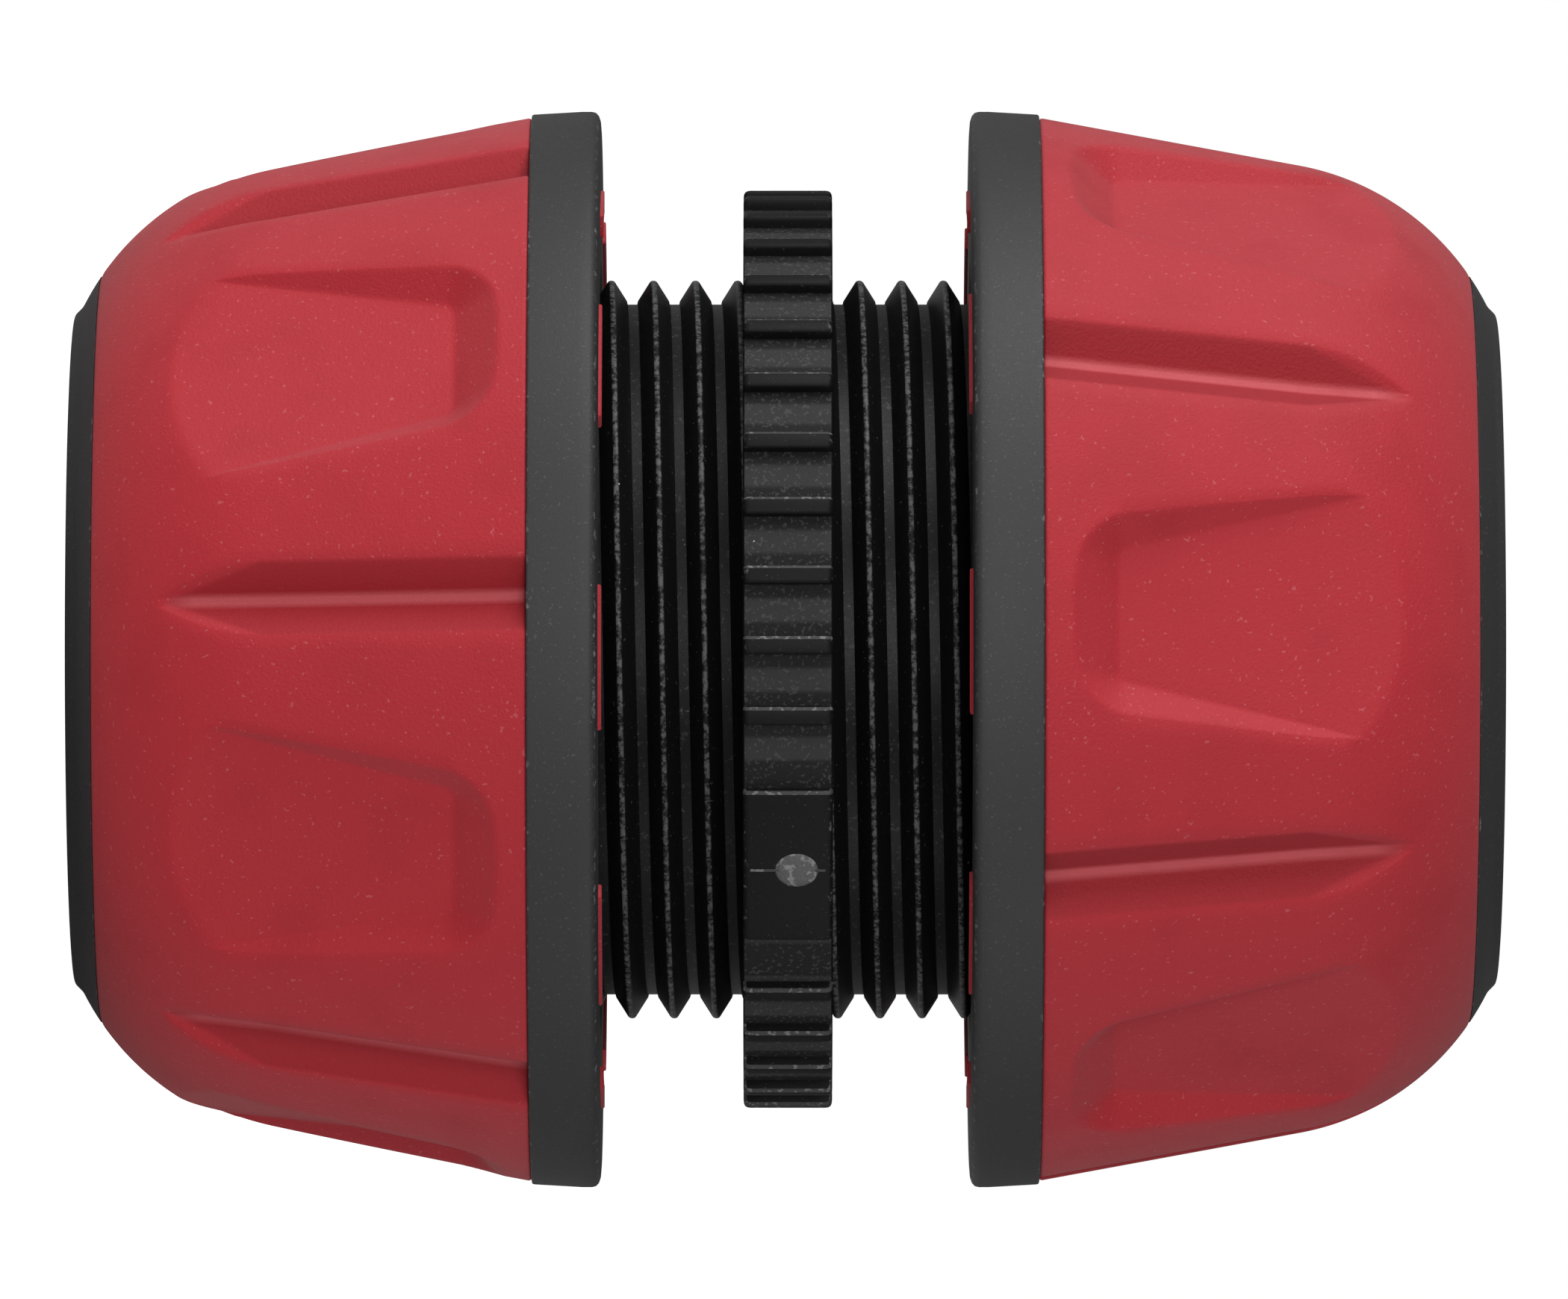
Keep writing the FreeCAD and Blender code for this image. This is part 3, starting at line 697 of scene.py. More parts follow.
def flank_slope(thread):
    """How much wider a ridge gets on each side for its depth."""
    run = (thread.pitch - thread.root_width - thread.crest_width) / 2
    return run / (thread.major_radius - thread.root_radius)


# Meshes


def plain_mesh(name, whole, materials):
    """The mesh of a bmesh, which it frees."""
    mesh = bpy.data.meshes.new(name)
    whole.to_mesh(mesh)
    whole.free()
    for material in materials:
        mesh.materials.append(material)
    return mesh


def bridge(whole, ring, after):
    """Faces between two closed rings of vertices."""
    for j in range(len(ring)):
        k = (j + 1) % len(ring)
        whole.faces.new((ring[j], after[j], after[k], ring[k]))


def eased(corners):
    """An outline of (r, z, easing) corners, with each corner rounded over its easing."""
    outline = []
    for i, (r, z, easing) in enumerate(corners):
        here = Vector((r, z))
        if not easing:
            outline.append(here)
            continue
        back = Vector(corners[i - 1][:2]) - here
        on = Vector(corners[(i + 1) % len(corners)][:2]) - here
        start = here + back.normalized() * min(easing, back.length / 2.1)
        end = here + on.normalized() * min(easing, on.length / 2.1)
        for t in (0, 0.25, 0.5, 0.75, 1):
            outline.append(start * (1 - t) ** 2 + here * 2 * t * (1 - t) + end * t ** 2)
    return outline


def swept(name, outline, material, span=TURN, steps=288, easing=0.0, edge_material=None):
    """A closed mesh of an outline swept about Z: all the way round, or over a span about +X.

    Its eased edges on the side where it starts take the edge material, if there is one.
    """
    whole = bmesh.new()
    closed = span > TURN - 1e-6
    start = 0.0 if closed else -span / 2
    rings = []
    for i in range(steps if closed else steps + 1):
        angle = start + i * span / steps
        cos, sin = math.cos(angle), math.sin(angle)
        rings.append([whole.verts.new((r * cos, r * sin, z)) for r, z in outline])
    following = rings[1:] + rings[:1] if closed else rings[1:]
    for ring, after in zip(rings, following):
        bridge(whole, ring, after)
    if not closed:
        whole.faces.new(rings[0])
        whole.faces.new(rings[-1])
    bmesh.ops.recalc_face_normals(whole, faces=whole.faces[:])
    if easing:
        corners = [e for e in whole.edges if e.calc_face_angle() > BEVEL_ANGLE]
        rounded = bmesh.ops.bevel(
            whole, geom=corners, offset=easing, segments=3, profile=0.5,
            affect="EDGES", clamp_overlap=True,
        )
        if edge_material:
            for face in rounded["faces"]:
                middle = face.calc_center_median()
                if math.atan2(middle.y, middle.x) < 2 * easing / middle.xy.length - span / 2:
                    face.material_index = 1
    for face in whole.faces:
        face.smooth = True
    for edge in whole.edges:
        edge.smooth = edge.calc_face_angle() < SHARP_ANGLE
    return plain_mesh(name, whole, [material, edge_material] if edge_material else [material])


def block_outline(inner, outer, low, high):
    return [(inner, low), (outer, low), (outer, high), (inner, high)]


def oval_dome(name, material, radius, half_height, half_width, rise):
    """A low oval dome on a cylinder about Z, facing +X."""
    whole = bmesh.new()
    steps, layers, foot_depth = 40, 6, 0.3 * MM
    rings = []
    for i in range(layers):
        share = 1 - i / layers
        r = radius + rise * (1 - share ** 4)
        rings.append([])
        for j in range(steps):
            angle = share * half_width * math.cos(j * TURN / steps) / radius
            height = share * half_height * math.sin(j * TURN / steps)
            rings[-1].append(whole.verts.new((r * math.cos(angle), r * math.sin(angle), height)))
    foot = [whole.verts.new(v.co * (1 - foot_depth / radius)) for v in rings[0]]
    rings.insert(0, foot)
    for ring, after in zip(rings, rings[1:]):
        bridge(whole, ring, after)
    whole.faces.new(rings[-1])
    whole.faces.new(foot)
    bmesh.ops.recalc_face_normals(whole, faces=whole.faces[:])
    for face in whole.faces:
        face.smooth = True
    return plain_mesh(name, whole, [material])


def moved(mesh, matrix):
    """A copy of a mesh in another place."""
    copy = mesh.copy()
    copy.transform(matrix)
    return copy


def joined(name, meshes):
    whole = bmesh.new()
    materials = []
    for mesh in meshes:
        count = len(whole.faces)
        whole.from_mesh(mesh)
        whole.faces.ensure_lookup_table()
        for material in mesh.materials:
            if material and material not in materials:
                materials.append(material)
        for face in whole.faces[count:]:
            face.material_index = materials.index(mesh.materials[face.material_index])
    return plain_mesh(name, whole, materials)


def piece(name, meshes, body, slot, *replaced):
    """A finished piece of one or more meshes, which rides on a body and stands for its nodes."""
    obj = bpy.data.objects.new(name, joined(name, meshes))
    bpy.context.scene.collection.objects.link(obj)
    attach(obj, body)
    if replaced:
        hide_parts(*replaced)
    return obj


# Shader groups and materials


def shader_group(name, inputs, outputs):
    """Makes a function that works out the outputs into one that gives the finished node group."""

    def wrap(work_out):
        def group():
            made = bpy.data.node_groups.get(name)
            if made:
                return made
            numbers = [(label, "NodeSocketFloat", default) for label, default in inputs]
            results = [(label, "NodeSocketFloat", None) for label in outputs]
            tree = new_group(name, "ShaderNodeTree", numbers, results)
            for label, value in zip(outputs, work_out(tree, tree.entry)):
                tree.plug(value, tree.exit.inputs[label])
            return tree.group

        return group

    return wrap


@shader_group("Moulded Grain", [("Size", 0.2 * MM), ("Specks", 0.5)], ["Height", "Speck", "Cloud"])
def moulded_grain(tree, s):
    """Fine moulded grain: a height for bumps, a mask of pale specks and broad clouds."""
    level = 0.74 - s["Specks"] * 0.12
    speck = tree.share(tree.noise(0.7 / s["Size"], 1.0), level, level + 0.06)
    return tree.noise(1.0 / s["Size"], 2.0, 0.6), speck, tree.noise(260.0, 3.0)


@shader_group(
    "Worn Edge",
    [("Radius", 0.02), ("Height", 0.0), ("Width", 0.3 * MM), ("Amount", 0.5), ("Size", 0.4 * MM)],
    ["Mask"],
)
def worn_edge(tree, s):
    """A broken mask along a turned edge, given by its radius and its height on the coupling."""
    x, y, z = tree.parts(tree.place())
    distance = tree.hypot(tree.hypot(x, y) - s["Radius"], z - s["Height"])
    band = 1.0 - tree.share(distance, 0.0, s["Width"])
    wear = tree.noise(1.0 / s["Size"], 4.0, 0.7) + band * 0.35
    broken = tree.share(wear, 0.95 - s["Amount"] * 0.3, 1.05 - s["Amount"] * 0.2)
    return (broken * band,)


@shader_group(
    "Painted Highlight Band",
    [("Radius", 0.015), ("Width", 0.05 * MM), ("Amount", 0.5), ("Size", 0.3 * MM)],
    ["Mask"],
)
def highlight_band(tree, s):
    """A broken mask on everything near one radius, used for painted highlight lines."""
    x, y, _ = tree.parts(tree.place())
    off = tree.math("ABSOLUTE", tree.hypot(x, y) - s["Radius"])
    band = 1.0 - tree.share(off, s["Width"] * 0.4, s["Width"])
    low = 0.75 - s["Amount"] * 0.5
    return (tree.share(tree.noise(1.0 / s["Size"], 4.0, 0.75), low, low + 0.12) * band,)


@shader_group(
    "Between Ribs", [("First Angle", 0.0), ("Step", 0.15), ("Low", 0.33), ("High", 0.67)], ["Mask"]
)
def lit_band_between_ribs(tree, s):
    """A mask of the painted lit band on the floor between two ribs, away from the ribs' painted shadow.
    """
    x, y, _ = tree.parts(tree.place())
    angle = tree.math("FLOORED_MODULO", tree.math("ARCTAN2", y, x) - s["First Angle"], math.pi)
    place = tree.math("FRACT", angle / s["Step"])
    blur = 0.03
    rise = tree.share(place, s["Low"] - blur, s["Low"] + blur)
    fall = tree.share(place, s["High"] - blur, s["High"] + blur)
    return (rise - fall,)


@shader_group(
    "Flute Masks",
    [
        ("Turn", 0.0), ("Inner Face", 0.0), ("Upwards", 1.0), ("Start", 2.9 * MM), ("Bend", 13.8 * MM),
        ("End", 18.0 * MM), ("Half Width", 1.6 * MM), ("Valley", 0.3 * MM),
    ],
    ["Valley", "Wall"],
)
def flute_masks(tree, s):
    """Masks of the flutes' valleys and walls on one nut, which lies along Z, for a painted highlight
    along the valleys and painted shade on the walls.
    """
    x, y, z = tree.parts(tree.place())
    height = (z - s["Inner Face"]) * s["Upwards"]
    sixth = math.pi / GRIP_COUNT
    turned = tree.math("ARCTAN2", y, x) - s["Turn"] + sixth
    aside = tree.math("ABSOLUTE", tree.math("FLOORED_MODULO", turned, 2 * sixth) - sixth)
    off = aside * tree.hypot(x, y)
    fullness = 1.0 - tree.share(height, s["Bend"], s["End"])
    half = s["Half Width"] * fullness
    on_grip = height > s["Start"]
    wall = (1.0 - tree.share(off, half - 0.2 * MM, half)) * on_grip
    valley = 1.0 - tree.share(off, s["Valley"] * 0.4, s["Valley"] * 1.2)
    return valley * tree.share(fullness, 0.04, 0.35) * on_grip, wall


@shader_group("Dust Specks", [("Spacing", 1.5 * MM), ("Size", 0.05 * MM)], ["Mask"])
def dust_specks(tree, s):
    """A mask of sparse dust specks."""
    cells = tree.add("ShaderNodeTexVoronoi", {"Vector": tree.place(), "Scale": 1.0 / s["Spacing"]})
    chance = tree.parts(cells.outputs["Color"])[0]
    reach = s["Size"] / s["Spacing"] * (0.4 + chance)
    near = 1.0 - tree.share(Value(tree, cells.outputs["Distance"]), reach * 0.5, reach)
    return (near * (chance > 0.45),)


class Finish:
    """A material under construction, with its Principled shader."""

    def __init__(self, name, roughness, **constants):
        self.material = bpy.data.materials.new(name)
        self.material.use_nodes = True
        self.tree = Tree(self.material.node_tree)
        self.shader = self.material.node_tree.nodes["Principled BSDF"]
        self.shader.inputs["Roughness"].default_value = roughness
        for socket, value in constants.items():
            self.shader.inputs[socket.replace("_", " ")].default_value = value

    def group(self, group, **values):
        """The node of a shader group. Its outputs are values, by name."""
        inputs = {name.replace("_", " "): value for name, value in values.items()}
        node = self.tree.add("ShaderNodeGroup", inputs, node_tree=group)
        return {socket.name: Value(self.tree, socket) for socket in node.outputs}

    def blend(self, mask, first, second):
        node = self.tree.add(
            "ShaderNodeMix", {0: mask, 6: first, 7: second}, data_type="RGBA", clamp_factor=True
        )
        return node.outputs[2]

    def bump(self, height, distance):
        return self.tree.add("ShaderNodeBump", {"Height": height, "Distance": distance}).outputs[0]

    def set(self, **sockets):
        for name, value in sockets.items():
            self.tree.plug(value, self.shader.inputs[name.replace("_", " ")])
        return self.material


def darker(shade, share):
    return tuple(c * share for c in shade[:3]) + (1.0,)


def rubber(side, colours, grip):
    """Matt red soft grip with fine grain and pale specks, a painted sheen at grazing angles, a painted
    highlight along the flute valleys and painted shade on the flute walls.
    """
    finish = Finish(
        side + "_soft_red_grip", 0.62, Specular_IOR_Level=0.3, Sheen_Weight=0.05, Sheen_Roughness=0.5
    )
    grain = finish.group(moulded_grain(), Size=0.13 * MM, Specks=0.45)
    dust = finish.group(dust_specks(), Spacing=2.4 * MM, Size=0.05 * MM)
    turn, inner_face, upwards = FLUTE_PLACES[side]
    bend = grip.flange_width + grip.cone_length
    flutes = finish.group(
        flute_masks(), Turn=math.radians(turn), Inner_Face=inner_face, Upwards=upwards,
        Start=grip.flange_width - 0.05 * MM, Bend=bend, End=bend + grip.flute_on_nose,
        Half_Width=grip.flute_valley / 2 + grip.flute_slope * grip.flute_depth,
        Valley=grip.valley_highlight_reach,
    )
    # The grain's pale specks, plus a painted sheen that grows paler where the grip is seen at grazing
    # angles.
    facing = finish.tree.add("ShaderNodeLayerWeight", {"Blend": 0.35}).outputs["Facing"]
    specks_and_sheen = grain["Speck"] * 0.3 + Value(finish.tree, facing) * 0.16
    base = finish.blend(specks_and_sheen, colours.grip_red, colours.grip_bloom)
    # Painted shade on the flutes' walls.
    base = finish.blend(flutes["Wall"] * 0.85, base, colours.wall_red)
    # Painted highlight along the flutes' valleys.
    base = finish.blend(flutes["Valley"] * 0.9, base, colours.valley_red)
    cloud = finish.tree.share(grain["Cloud"], 0.5, 0.75)
    base = finish.blend(cloud * 0.4, base, darker(colours.grip_red, 0.82))
    base = finish.blend(dust["Mask"] * 0.5, base, colours.dust)
    normal = finish.bump(grain["Height"], 0.035 * MM)
    return finish.set(Base_Color=base, Roughness=0.56 + grain["Height"] * 0.16, Normal=normal)


def black_plastic(
    name, colours, base, roughness, grain_size, specks, bump,
    edges=(), highlight_bands=(), specular=0.5, speck_share=0.3, between=None,
):
    """Black moulded plastic with grain and pale specks, scuffed along its edges, with painted highlight
    lines at given radii.

    It may take a painted lit band between ribs, given with their first angle and step; the darker base
    either side is painted shadow.
    """
    finish = Finish(name, roughness, Specular_IOR_Level=specular)
    # A painted lit band between the ribs, with the darker base as painted shadow either side.
    if between:
        first, step, lit_band_shade = between
        ribs = finish.group(lit_band_between_ribs(), First_Angle=first, Step=step)
        base = finish.blend(ribs["Mask"], base, lit_band_shade)
    grain = finish.group(moulded_grain(), Size=grain_size, Specks=specks)
    dust = finish.group(dust_specks(), Spacing=3.0 * MM, Size=0.045 * MM)
    shade = finish.blend(grain["Speck"] * speck_share, base, colours.worn_grey)
    # Painted highlight lines at the given radii.
    for radius, width, amount, share in highlight_bands:
        painted_highlight = finish.group(highlight_band(), Radius=radius, Width=width, Amount=amount)
        shade = finish.blend(painted_highlight["Mask"] * share, shade, colours.worn_grey)
    for radius, height, width, amount in edges:
        scuff = finish.group(worn_edge(), Radius=radius, Height=height, Width=width, Amount=amount)
        shade = finish.blend(scuff["Mask"] * 0.7, shade, colours.worn_grey)
    shade = finish.blend(dust["Mask"] * 0.7, shade, colours.dust)
    rough = roughness - 0.08 + grain["Height"] * 0.16
    return finish.set(Base_Color=shade, Roughness=rough, Normal=finish.bump(grain["Height"], bump))


def nut_plastic(side, colours, core):
    """The core's finish, with scuffs at the edges of this nut's flange and end ring."""
    place = NUT_PLACES[side]
    # Radius, height on the nut, width and amount of each scuff
    edges = [
        (core.flange_radius - 0.2 * MM, 0.1 * MM, 0.6 * MM, 0.3),
        (core.flange_radius - core.flange_taper, 2.9 * MM, 0.3 * MM, 0.35),
        (15.6 * MM, 20.95 * MM, 0.25 * MM, 0.3),
    ]
    placed = [(r, (place @ Vector((0, 0, z))).z, width, amount) for r, z, width, amount in edges]
    return black_plastic(
        side + "_nut_black", colours, colours.nut_black, 0.6, 0.085 * MM, 0.6, 0.012 * MM, placed,
        speck_share=0.14,
    )


def pale_plastic(colours):
    """The collets' natural plastic, faintly clouded."""
    finish = Finish("pale_collet", 0.45)
    grain = finish.group(moulded_grain(), Size=0.3 * MM, Specks=0.1)
    cloud = finish.tree.share(grain["Cloud"], 0.4, 0.8)
    return finish.set(
        Base_Color=finish.blend(cloud, colours.collet_pale, darker(colours.collet_pale, 0.88)),
        Roughness=0.4 + grain["Height"] * 0.12,
        Normal=finish.bump(grain["Height"], 0.01 * MM),
    )


# Pieces


class HOSECONNECTOR_OT_grips(bpy.types.Operator):
    """Build the soft grips with their flutes, finger pockets and feed pads"""

    bl_idname = "hose_connector.grips"
    bl_label = "Soft Grips"
    bl_options = {"REGISTER", "UNDO"}

    def execute(self, context):
        grip = context.scene.hose_connector_grip
        core = context.scene.hose_connector_core
        colours = context.scene.hose_connector_finish
        shape = grip_group(grip)
        pad_block = block_outline(
            core.pad_radius, core.pad_radius + core.pad_width, -core.pad_proud, 2 * MM
        )
        for side, place in NUT_PLACES.items():
            finish = rubber(side, colours, grip)
            ring = grown(side + "_grip", shape, sizes(grip), finish)
            pad = swept(side + "_feed_pad", pad_block, finish, core.pad_span, 12, core.pad_easing)
            pads = repeated(
                side + "_feed_pads", pad, finish, core.pad_count, TURN / core.pad_count,
                first=core.pad_turn,
            )
            piece(
                side + "_soft_grip", [moved(ring, place), moved(pads, place)],
                side + "_nut", "red_grip", side + "_grip_sleeve",
            )
        return {"FINISHED"}


class HOSECONNECTOR_OT_cores(bpy.types.Operator):
    """Build the nuts' black cores with their flanges, end rings and inner threads"""

    bl_idname = "hose_connector.cores"
    bl_label = "Nut Cores"
    bl_options = {"REGISTER", "UNDO"}

    def outline(self, core, grip):
        seat_end = NUT_LENGTH - core.end_wall
        lip_top = seat_end - LIP_DEPTH
        lip_low = lip_top - LIP_WIDTH
        fine = FINE_EASING
        corners = [
            (core.relief_radius + core.mouth_chamfer, 0.0, fine),
            (core.relief_radius, core.mouth_chamfer, fine),
            (core.relief_radius, core.relief_length, 0.2 * MM),
            (core.seat_radius, lip_low - core.lip_height, 0.0),
            (core.seat_radius - core.lip_height, lip_low, fine),
            (core.seat_radius - core.lip_height, lip_top, fine),
            (core.seat_radius, lip_top, 0.0),
            (core.seat_radius, seat_end, 0.0),
            (core.hole_radius, seat_end, fine),
            (core.hole_radius, NUT_LENGTH - core.hole_chamfer, fine),
            (core.hole_radius + core.hole_chamfer, NUT_LENGTH, fine),
        ]
        nose = self.nose(grip)
        edge_z = NUT_LENGTH - core.end_edge
        corners.append((nose(edge_z) - core.end_edge, NUT_LENGTH, 0.12 * MM))
        corners.append((nose(edge_z), edge_z, 0.12 * MM))
        corners += [(nose(z), z, 0.0) for z in (edge_z - i * 0.19 * MM for i in (1, 2, 3))]
        return corners + [
            (nose(grip.shoulder), grip.shoulder, 0.05 * MM),
            (grip.neck_radius, grip.shoulder, 0.0),
            (grip.neck_radius, grip.shoulder - grip.neck_length, 0.0),
            (grip.barrel_radius, grip.flange_width + grip.barrel_length, 0.0),
            (grip.barrel_radius, grip.flange_width, 0.0),
            (core.flange_radius - core.flange_taper, grip.flange_width, 0.1 * MM),
            (core.flange_radius, core.rim_easing + 0.1 * MM, 0.0),
            (core.flange_radius, 0.0, core.rim_easing),
        ]

    def nose(self, grip):
        """Radius of the nose by its height."""
        start_r = grip.grip_radius - grip.cone_length * math.tan(grip.cone_angle)
        start_z = grip.flange_width + grip.cone_length
        fall = start_r - grip.nose_end_radius
        cos, sin = math.cos(grip.cone_angle), math.sin(grip.cone_angle)
        radius = (fall ** 2 + grip.nose_length ** 2) / 2 / (fall * cos - grip.nose_length * sin)

        def nose_r(z):
            rise = z - start_z + radius * sin
            return start_r - radius * cos + math.sqrt(radius ** 2 - rise ** 2)

        return nose_r

    def execute(self, context):
        scene = context.scene
        core, grip = scene.hose_connector_core, scene.hose_connector_grip
        thread = scene.hose_connector_thread
        outline = eased(self.outline(core, grip))
        crest_r = thread.root_radius + thread.clearance
        foot_r = core.relief_radius + 0.2 * MM
        half = thread.pitch / 2 - thread.clearance - thread.crest_width / 2
        foot_width, crest_width = (
            2 * (half - (thread.major_radius - r) * flank_slope(thread)) for r in (foot_r, crest_r)
        )
        values = {
            "Pitch": thread.pitch, "Turns": NUT_THREAD_TURNS,
            "Foot Radius": foot_r, "Crest Radius": crest_r,
            "Foot Width": foot_width, "Crest Width": crest_width, "Crest Easing": FINE_EASING,
            "Start Height": NUT_THREAD_START, "End Height": NO_LIMIT, "End Radius": NO_LIMIT,
        }
        for side, place in NUT_PLACES.items():
            finish = nut_plastic(side, scene.hose_connector_finish, core)
            turned = swept(side + "_core", outline, finish)
            ridge = screw_thread(side + "_nut_thread", finish, values)
            piece(
                side + "_core_moulding", [moved(turned, place), moved(ridge, place)],
                side + "_nut", "black_nut", side + "_nut_core",
            )
        return {"FINISHED"}


class HOSECONNECTOR_OT_body(bpy.types.Operator):
    """Build the centre body: ribbed ring, threads, sleeves and barbed spigots"""

    bl_idname = "hose_connector.body"
    bl_label = "Centre Body"
    bl_options = {"REGISTER", "UNDO"}

    def side_outline(self, body, thread):
        """One side from the spigot's tip to the ring's rim."""
        fine = FINE_EASING
        corners = [
            (body.water_way, body.spigot_end - 0.5 * MM, fine),
            (body.water_way + 0.5 * MM, body.spigot_end, fine),
            (body.tip_radius, body.spigot_end, fine),
        ]
        z = body.spigot_end - body.tip_lead
        for i in range(4):
            valley = body.barb_radius - body.barb_height if i < 3 else body.spigot_root
            corners.append((body.barb_radius, z, fine))
            corners.append((body.barb_radius, z - body.barb_land, fine))
            corners.append((valley, z - 2 * body.barb_land, 0.1 * MM))
            z -= body.barb_step
        return corners + [
            (body.spigot_root, body.web_thickness / 2, 0.3 * MM),
            (body.sleeve_bore, body.web_thickness / 2, 0.3 * MM),
            (body.sleeve_bore, body.sleeve_end - body.sleeve_taper, 0.3 * MM),
            (body.sleeve_bore + body.sleeve_flare, body.sleeve_end, fine),
            (thread.major_radius - body.sleeve_chamfer, body.sleeve_end, fine),
            (thread.root_radius, body.sleeve_end - 0.1 * MM, 0.0),
            (thread.root_radius, RING_FACE, 0.15 * MM),
            (body.ring_radius - body.rib_height, RING_FACE, 0.12 * MM),
        ]

    def turned(self, body, thread, thread_finish, recess_finish):
        """Ring, sleeves and spigots in one, with painted light and shadow on the ring between its ribs.
        """
        upper = self.side_outline(body, thread)
        outline = eased(upper + [(r, -z, easing) for r, z, easing in reversed(upper)])
        mesh = swept("turned_body", outline, thread_finish, steps=180)
        mesh.materials.append(recess_finish)
        for face in mesh.polygons:
            on_rim = face.center.xy.length > body.ring_radius - 0.6 * MM
            if on_rim and abs(face.center.z) < RING_FACE - 0.05 * MM:
                face.material_index = 1
        return moved(mesh, BODY_PLACES["upper"])

    def threads(self, body, thread, finish):
        """The screw thread on each side of the ring."""
        foot_r = thread.root_radius - 0.1 * MM
        foot_width = thread.crest_width + 2 * (thread.major_radius - foot_r) * flank_slope(thread)
        meshes = []
        for side, start in THREAD_STARTS.items():
            values = {
                "Pitch": thread.pitch, "Turns": THREAD_TURNS,
                "Foot Radius": foot_r, "Crest Radius": thread.major_radius,
                "Foot Width": foot_width, "Crest Width": thread.crest_width,
                "Crest Easing": thread.crest_easing, "Start Height": start,
                "End Height": body.sleeve_end - 0.02 * MM,
                "End Radius": thread.major_radius - body.sleeve_chamfer,
            }
            meshes.append(moved(screw_thread(side + "_thread", finish, values), BODY_PLACES[side]))
        return meshes

    def ring(self, body, first_rib, rib_finish, seam_and_edge_highlight_finish, gate_finish):
        """Ribs, plain lands, parting lines and gate mark."""
        foot = body.ring_radius - body.rib_height - 0.5 * MM
        rim = eased([
            (foot, -RING_FACE, 0.0), (body.ring_radius, -RING_FACE, body.ring_easing),
            (body.ring_radius, RING_FACE, body.ring_easing), (foot, RING_FACE, 0.0),
        ])
        rib_span, seam_span = body.rib_width / body.ring_radius, body.seam_width / body.ring_radius
        # The eased edges on the starting side of each rib and land take the edge finish, a painted
        # highlight.
        rib = swept("rib", rim, rib_finish, rib_span, 2, body.rib_easing, seam_and_edge_highlight_finish)
        land = swept("land", rim, rib_finish, 2 * body.land_half, 24, body.rib_easing, seam_and_edge_highlight_finish)
        seam_end = RING_FACE - 0.3 * MM
        seam_block = block_outline(foot, body.ring_radius + 0.03 * MM, -seam_end, seam_end)
        seam = swept("seam", seam_block, seam_and_edge_highlight_finish, seam_span, 2, 0.02 * MM)
        gate = oval_dome(
            "gate_mark", gate_finish, body.ring_radius - 0.01 * MM, body.gate_height / 2,
            body.gate_width / 2, 0.07 * MM,
        )
        gate_place = turn_about_z(math.degrees(body.parting_angle)) @ lift(body.gate_offset)
        parting = {"count": 1, "step": 0.0, "groups": 2.0, "first": body.parting_angle}
        meshes = [
            repeated("ribs", rib, rib_finish, body.ribs_per_half, body.rib_step, 2.0, first_rib),
            repeated("lands", land, rib_finish, **parting),
            repeated("seams", seam, seam_and_edge_highlight_finish, **parting),
            moved(gate, gate_place),
        ]
        return [moved(mesh, BODY_PLACES["upper"]) for mesh in meshes]

    def finishes(self, body, thread, colours, first_rib):
        """The plastic of the threads, the recesses with their painted light and shadow, the ribs, the
        painted highlight on their edges and the seams, and the gate mark.
        """
        # A paler broken band along each of the ring's two side edges.
        edges = [(body.ring_radius, BODY_Z + sign * RING_FACE, 0.5 * MM, 0.45) for sign in (-1, 1)]
        # Painted highlights: a broken light line along the thread's crest and a fainter one along its
        # root.
        highlight_bands = [
            (thread.major_radius, 0.04 * MM, 0.6, 0.4),
            (thread.root_radius, 0.03 * MM, 0.35, 0.2),
        ]
        return (
            black_plastic(
                "thread_black", colours, colours.thread_black, 0.42, 0.1 * MM, 0.2, 0.006 * MM,
                highlight_bands=highlight_bands, specular=0.16,
            ),
            # The floor between the ribs: a painted lit band, with painted shadow either side.
            black_plastic(
                "recess_grey", colours, colours.rib_black, 0.75, 0.11 * MM, 1.2, 0.03 * MM,
                specular=0.3, speck_share=0.13, between=(first_rib, body.rib_step, colours.recess_grey),
            ),
            black_plastic(
                "rib_black", colours, colours.rib_black, 0.55, 0.09 * MM, 0.4, 0.008 * MM, edges,
                specular=0.14, speck_share=0.12,
            ),
            # A painted highlight on the ribs' edges, also the seams' own grey.
            black_plastic(
                "rib_edge_grey", colours, colours.rib_edge_highlight, 0.6, 0.14 * MM, 1.4, 0.015 * MM,
                specular=0.25, speck_share=0.6,
            ),
            black_plastic(
                "gate_mark_grey", colours, colours.gate_grey, 0.5, 0.2 * MM, 1.6, 0.06 * MM,
                specular=0.5, speck_share=0.8,
            ),
        )

    def execute(self, context):
        scene = context.scene
        body, thread = scene.hose_connector_body, scene.hose_connector_thread
        first_rib = body.parting_angle + math.pi / 2 - (body.ribs_per_half - 1) / 2 * body.rib_step
        finishes = self.finishes(body, thread, scene.hose_connector_finish, first_rib)
        meshes = [self.turned(body, thread, *finishes[:2])]
        meshes += self.threads(body, thread, finishes[0])
        meshes += self.ring(body, first_rib, *finishes[2:])
        piece("centre_body", meshes, "connector", "black_body", "connector_body")
        return {"FINISHED"}


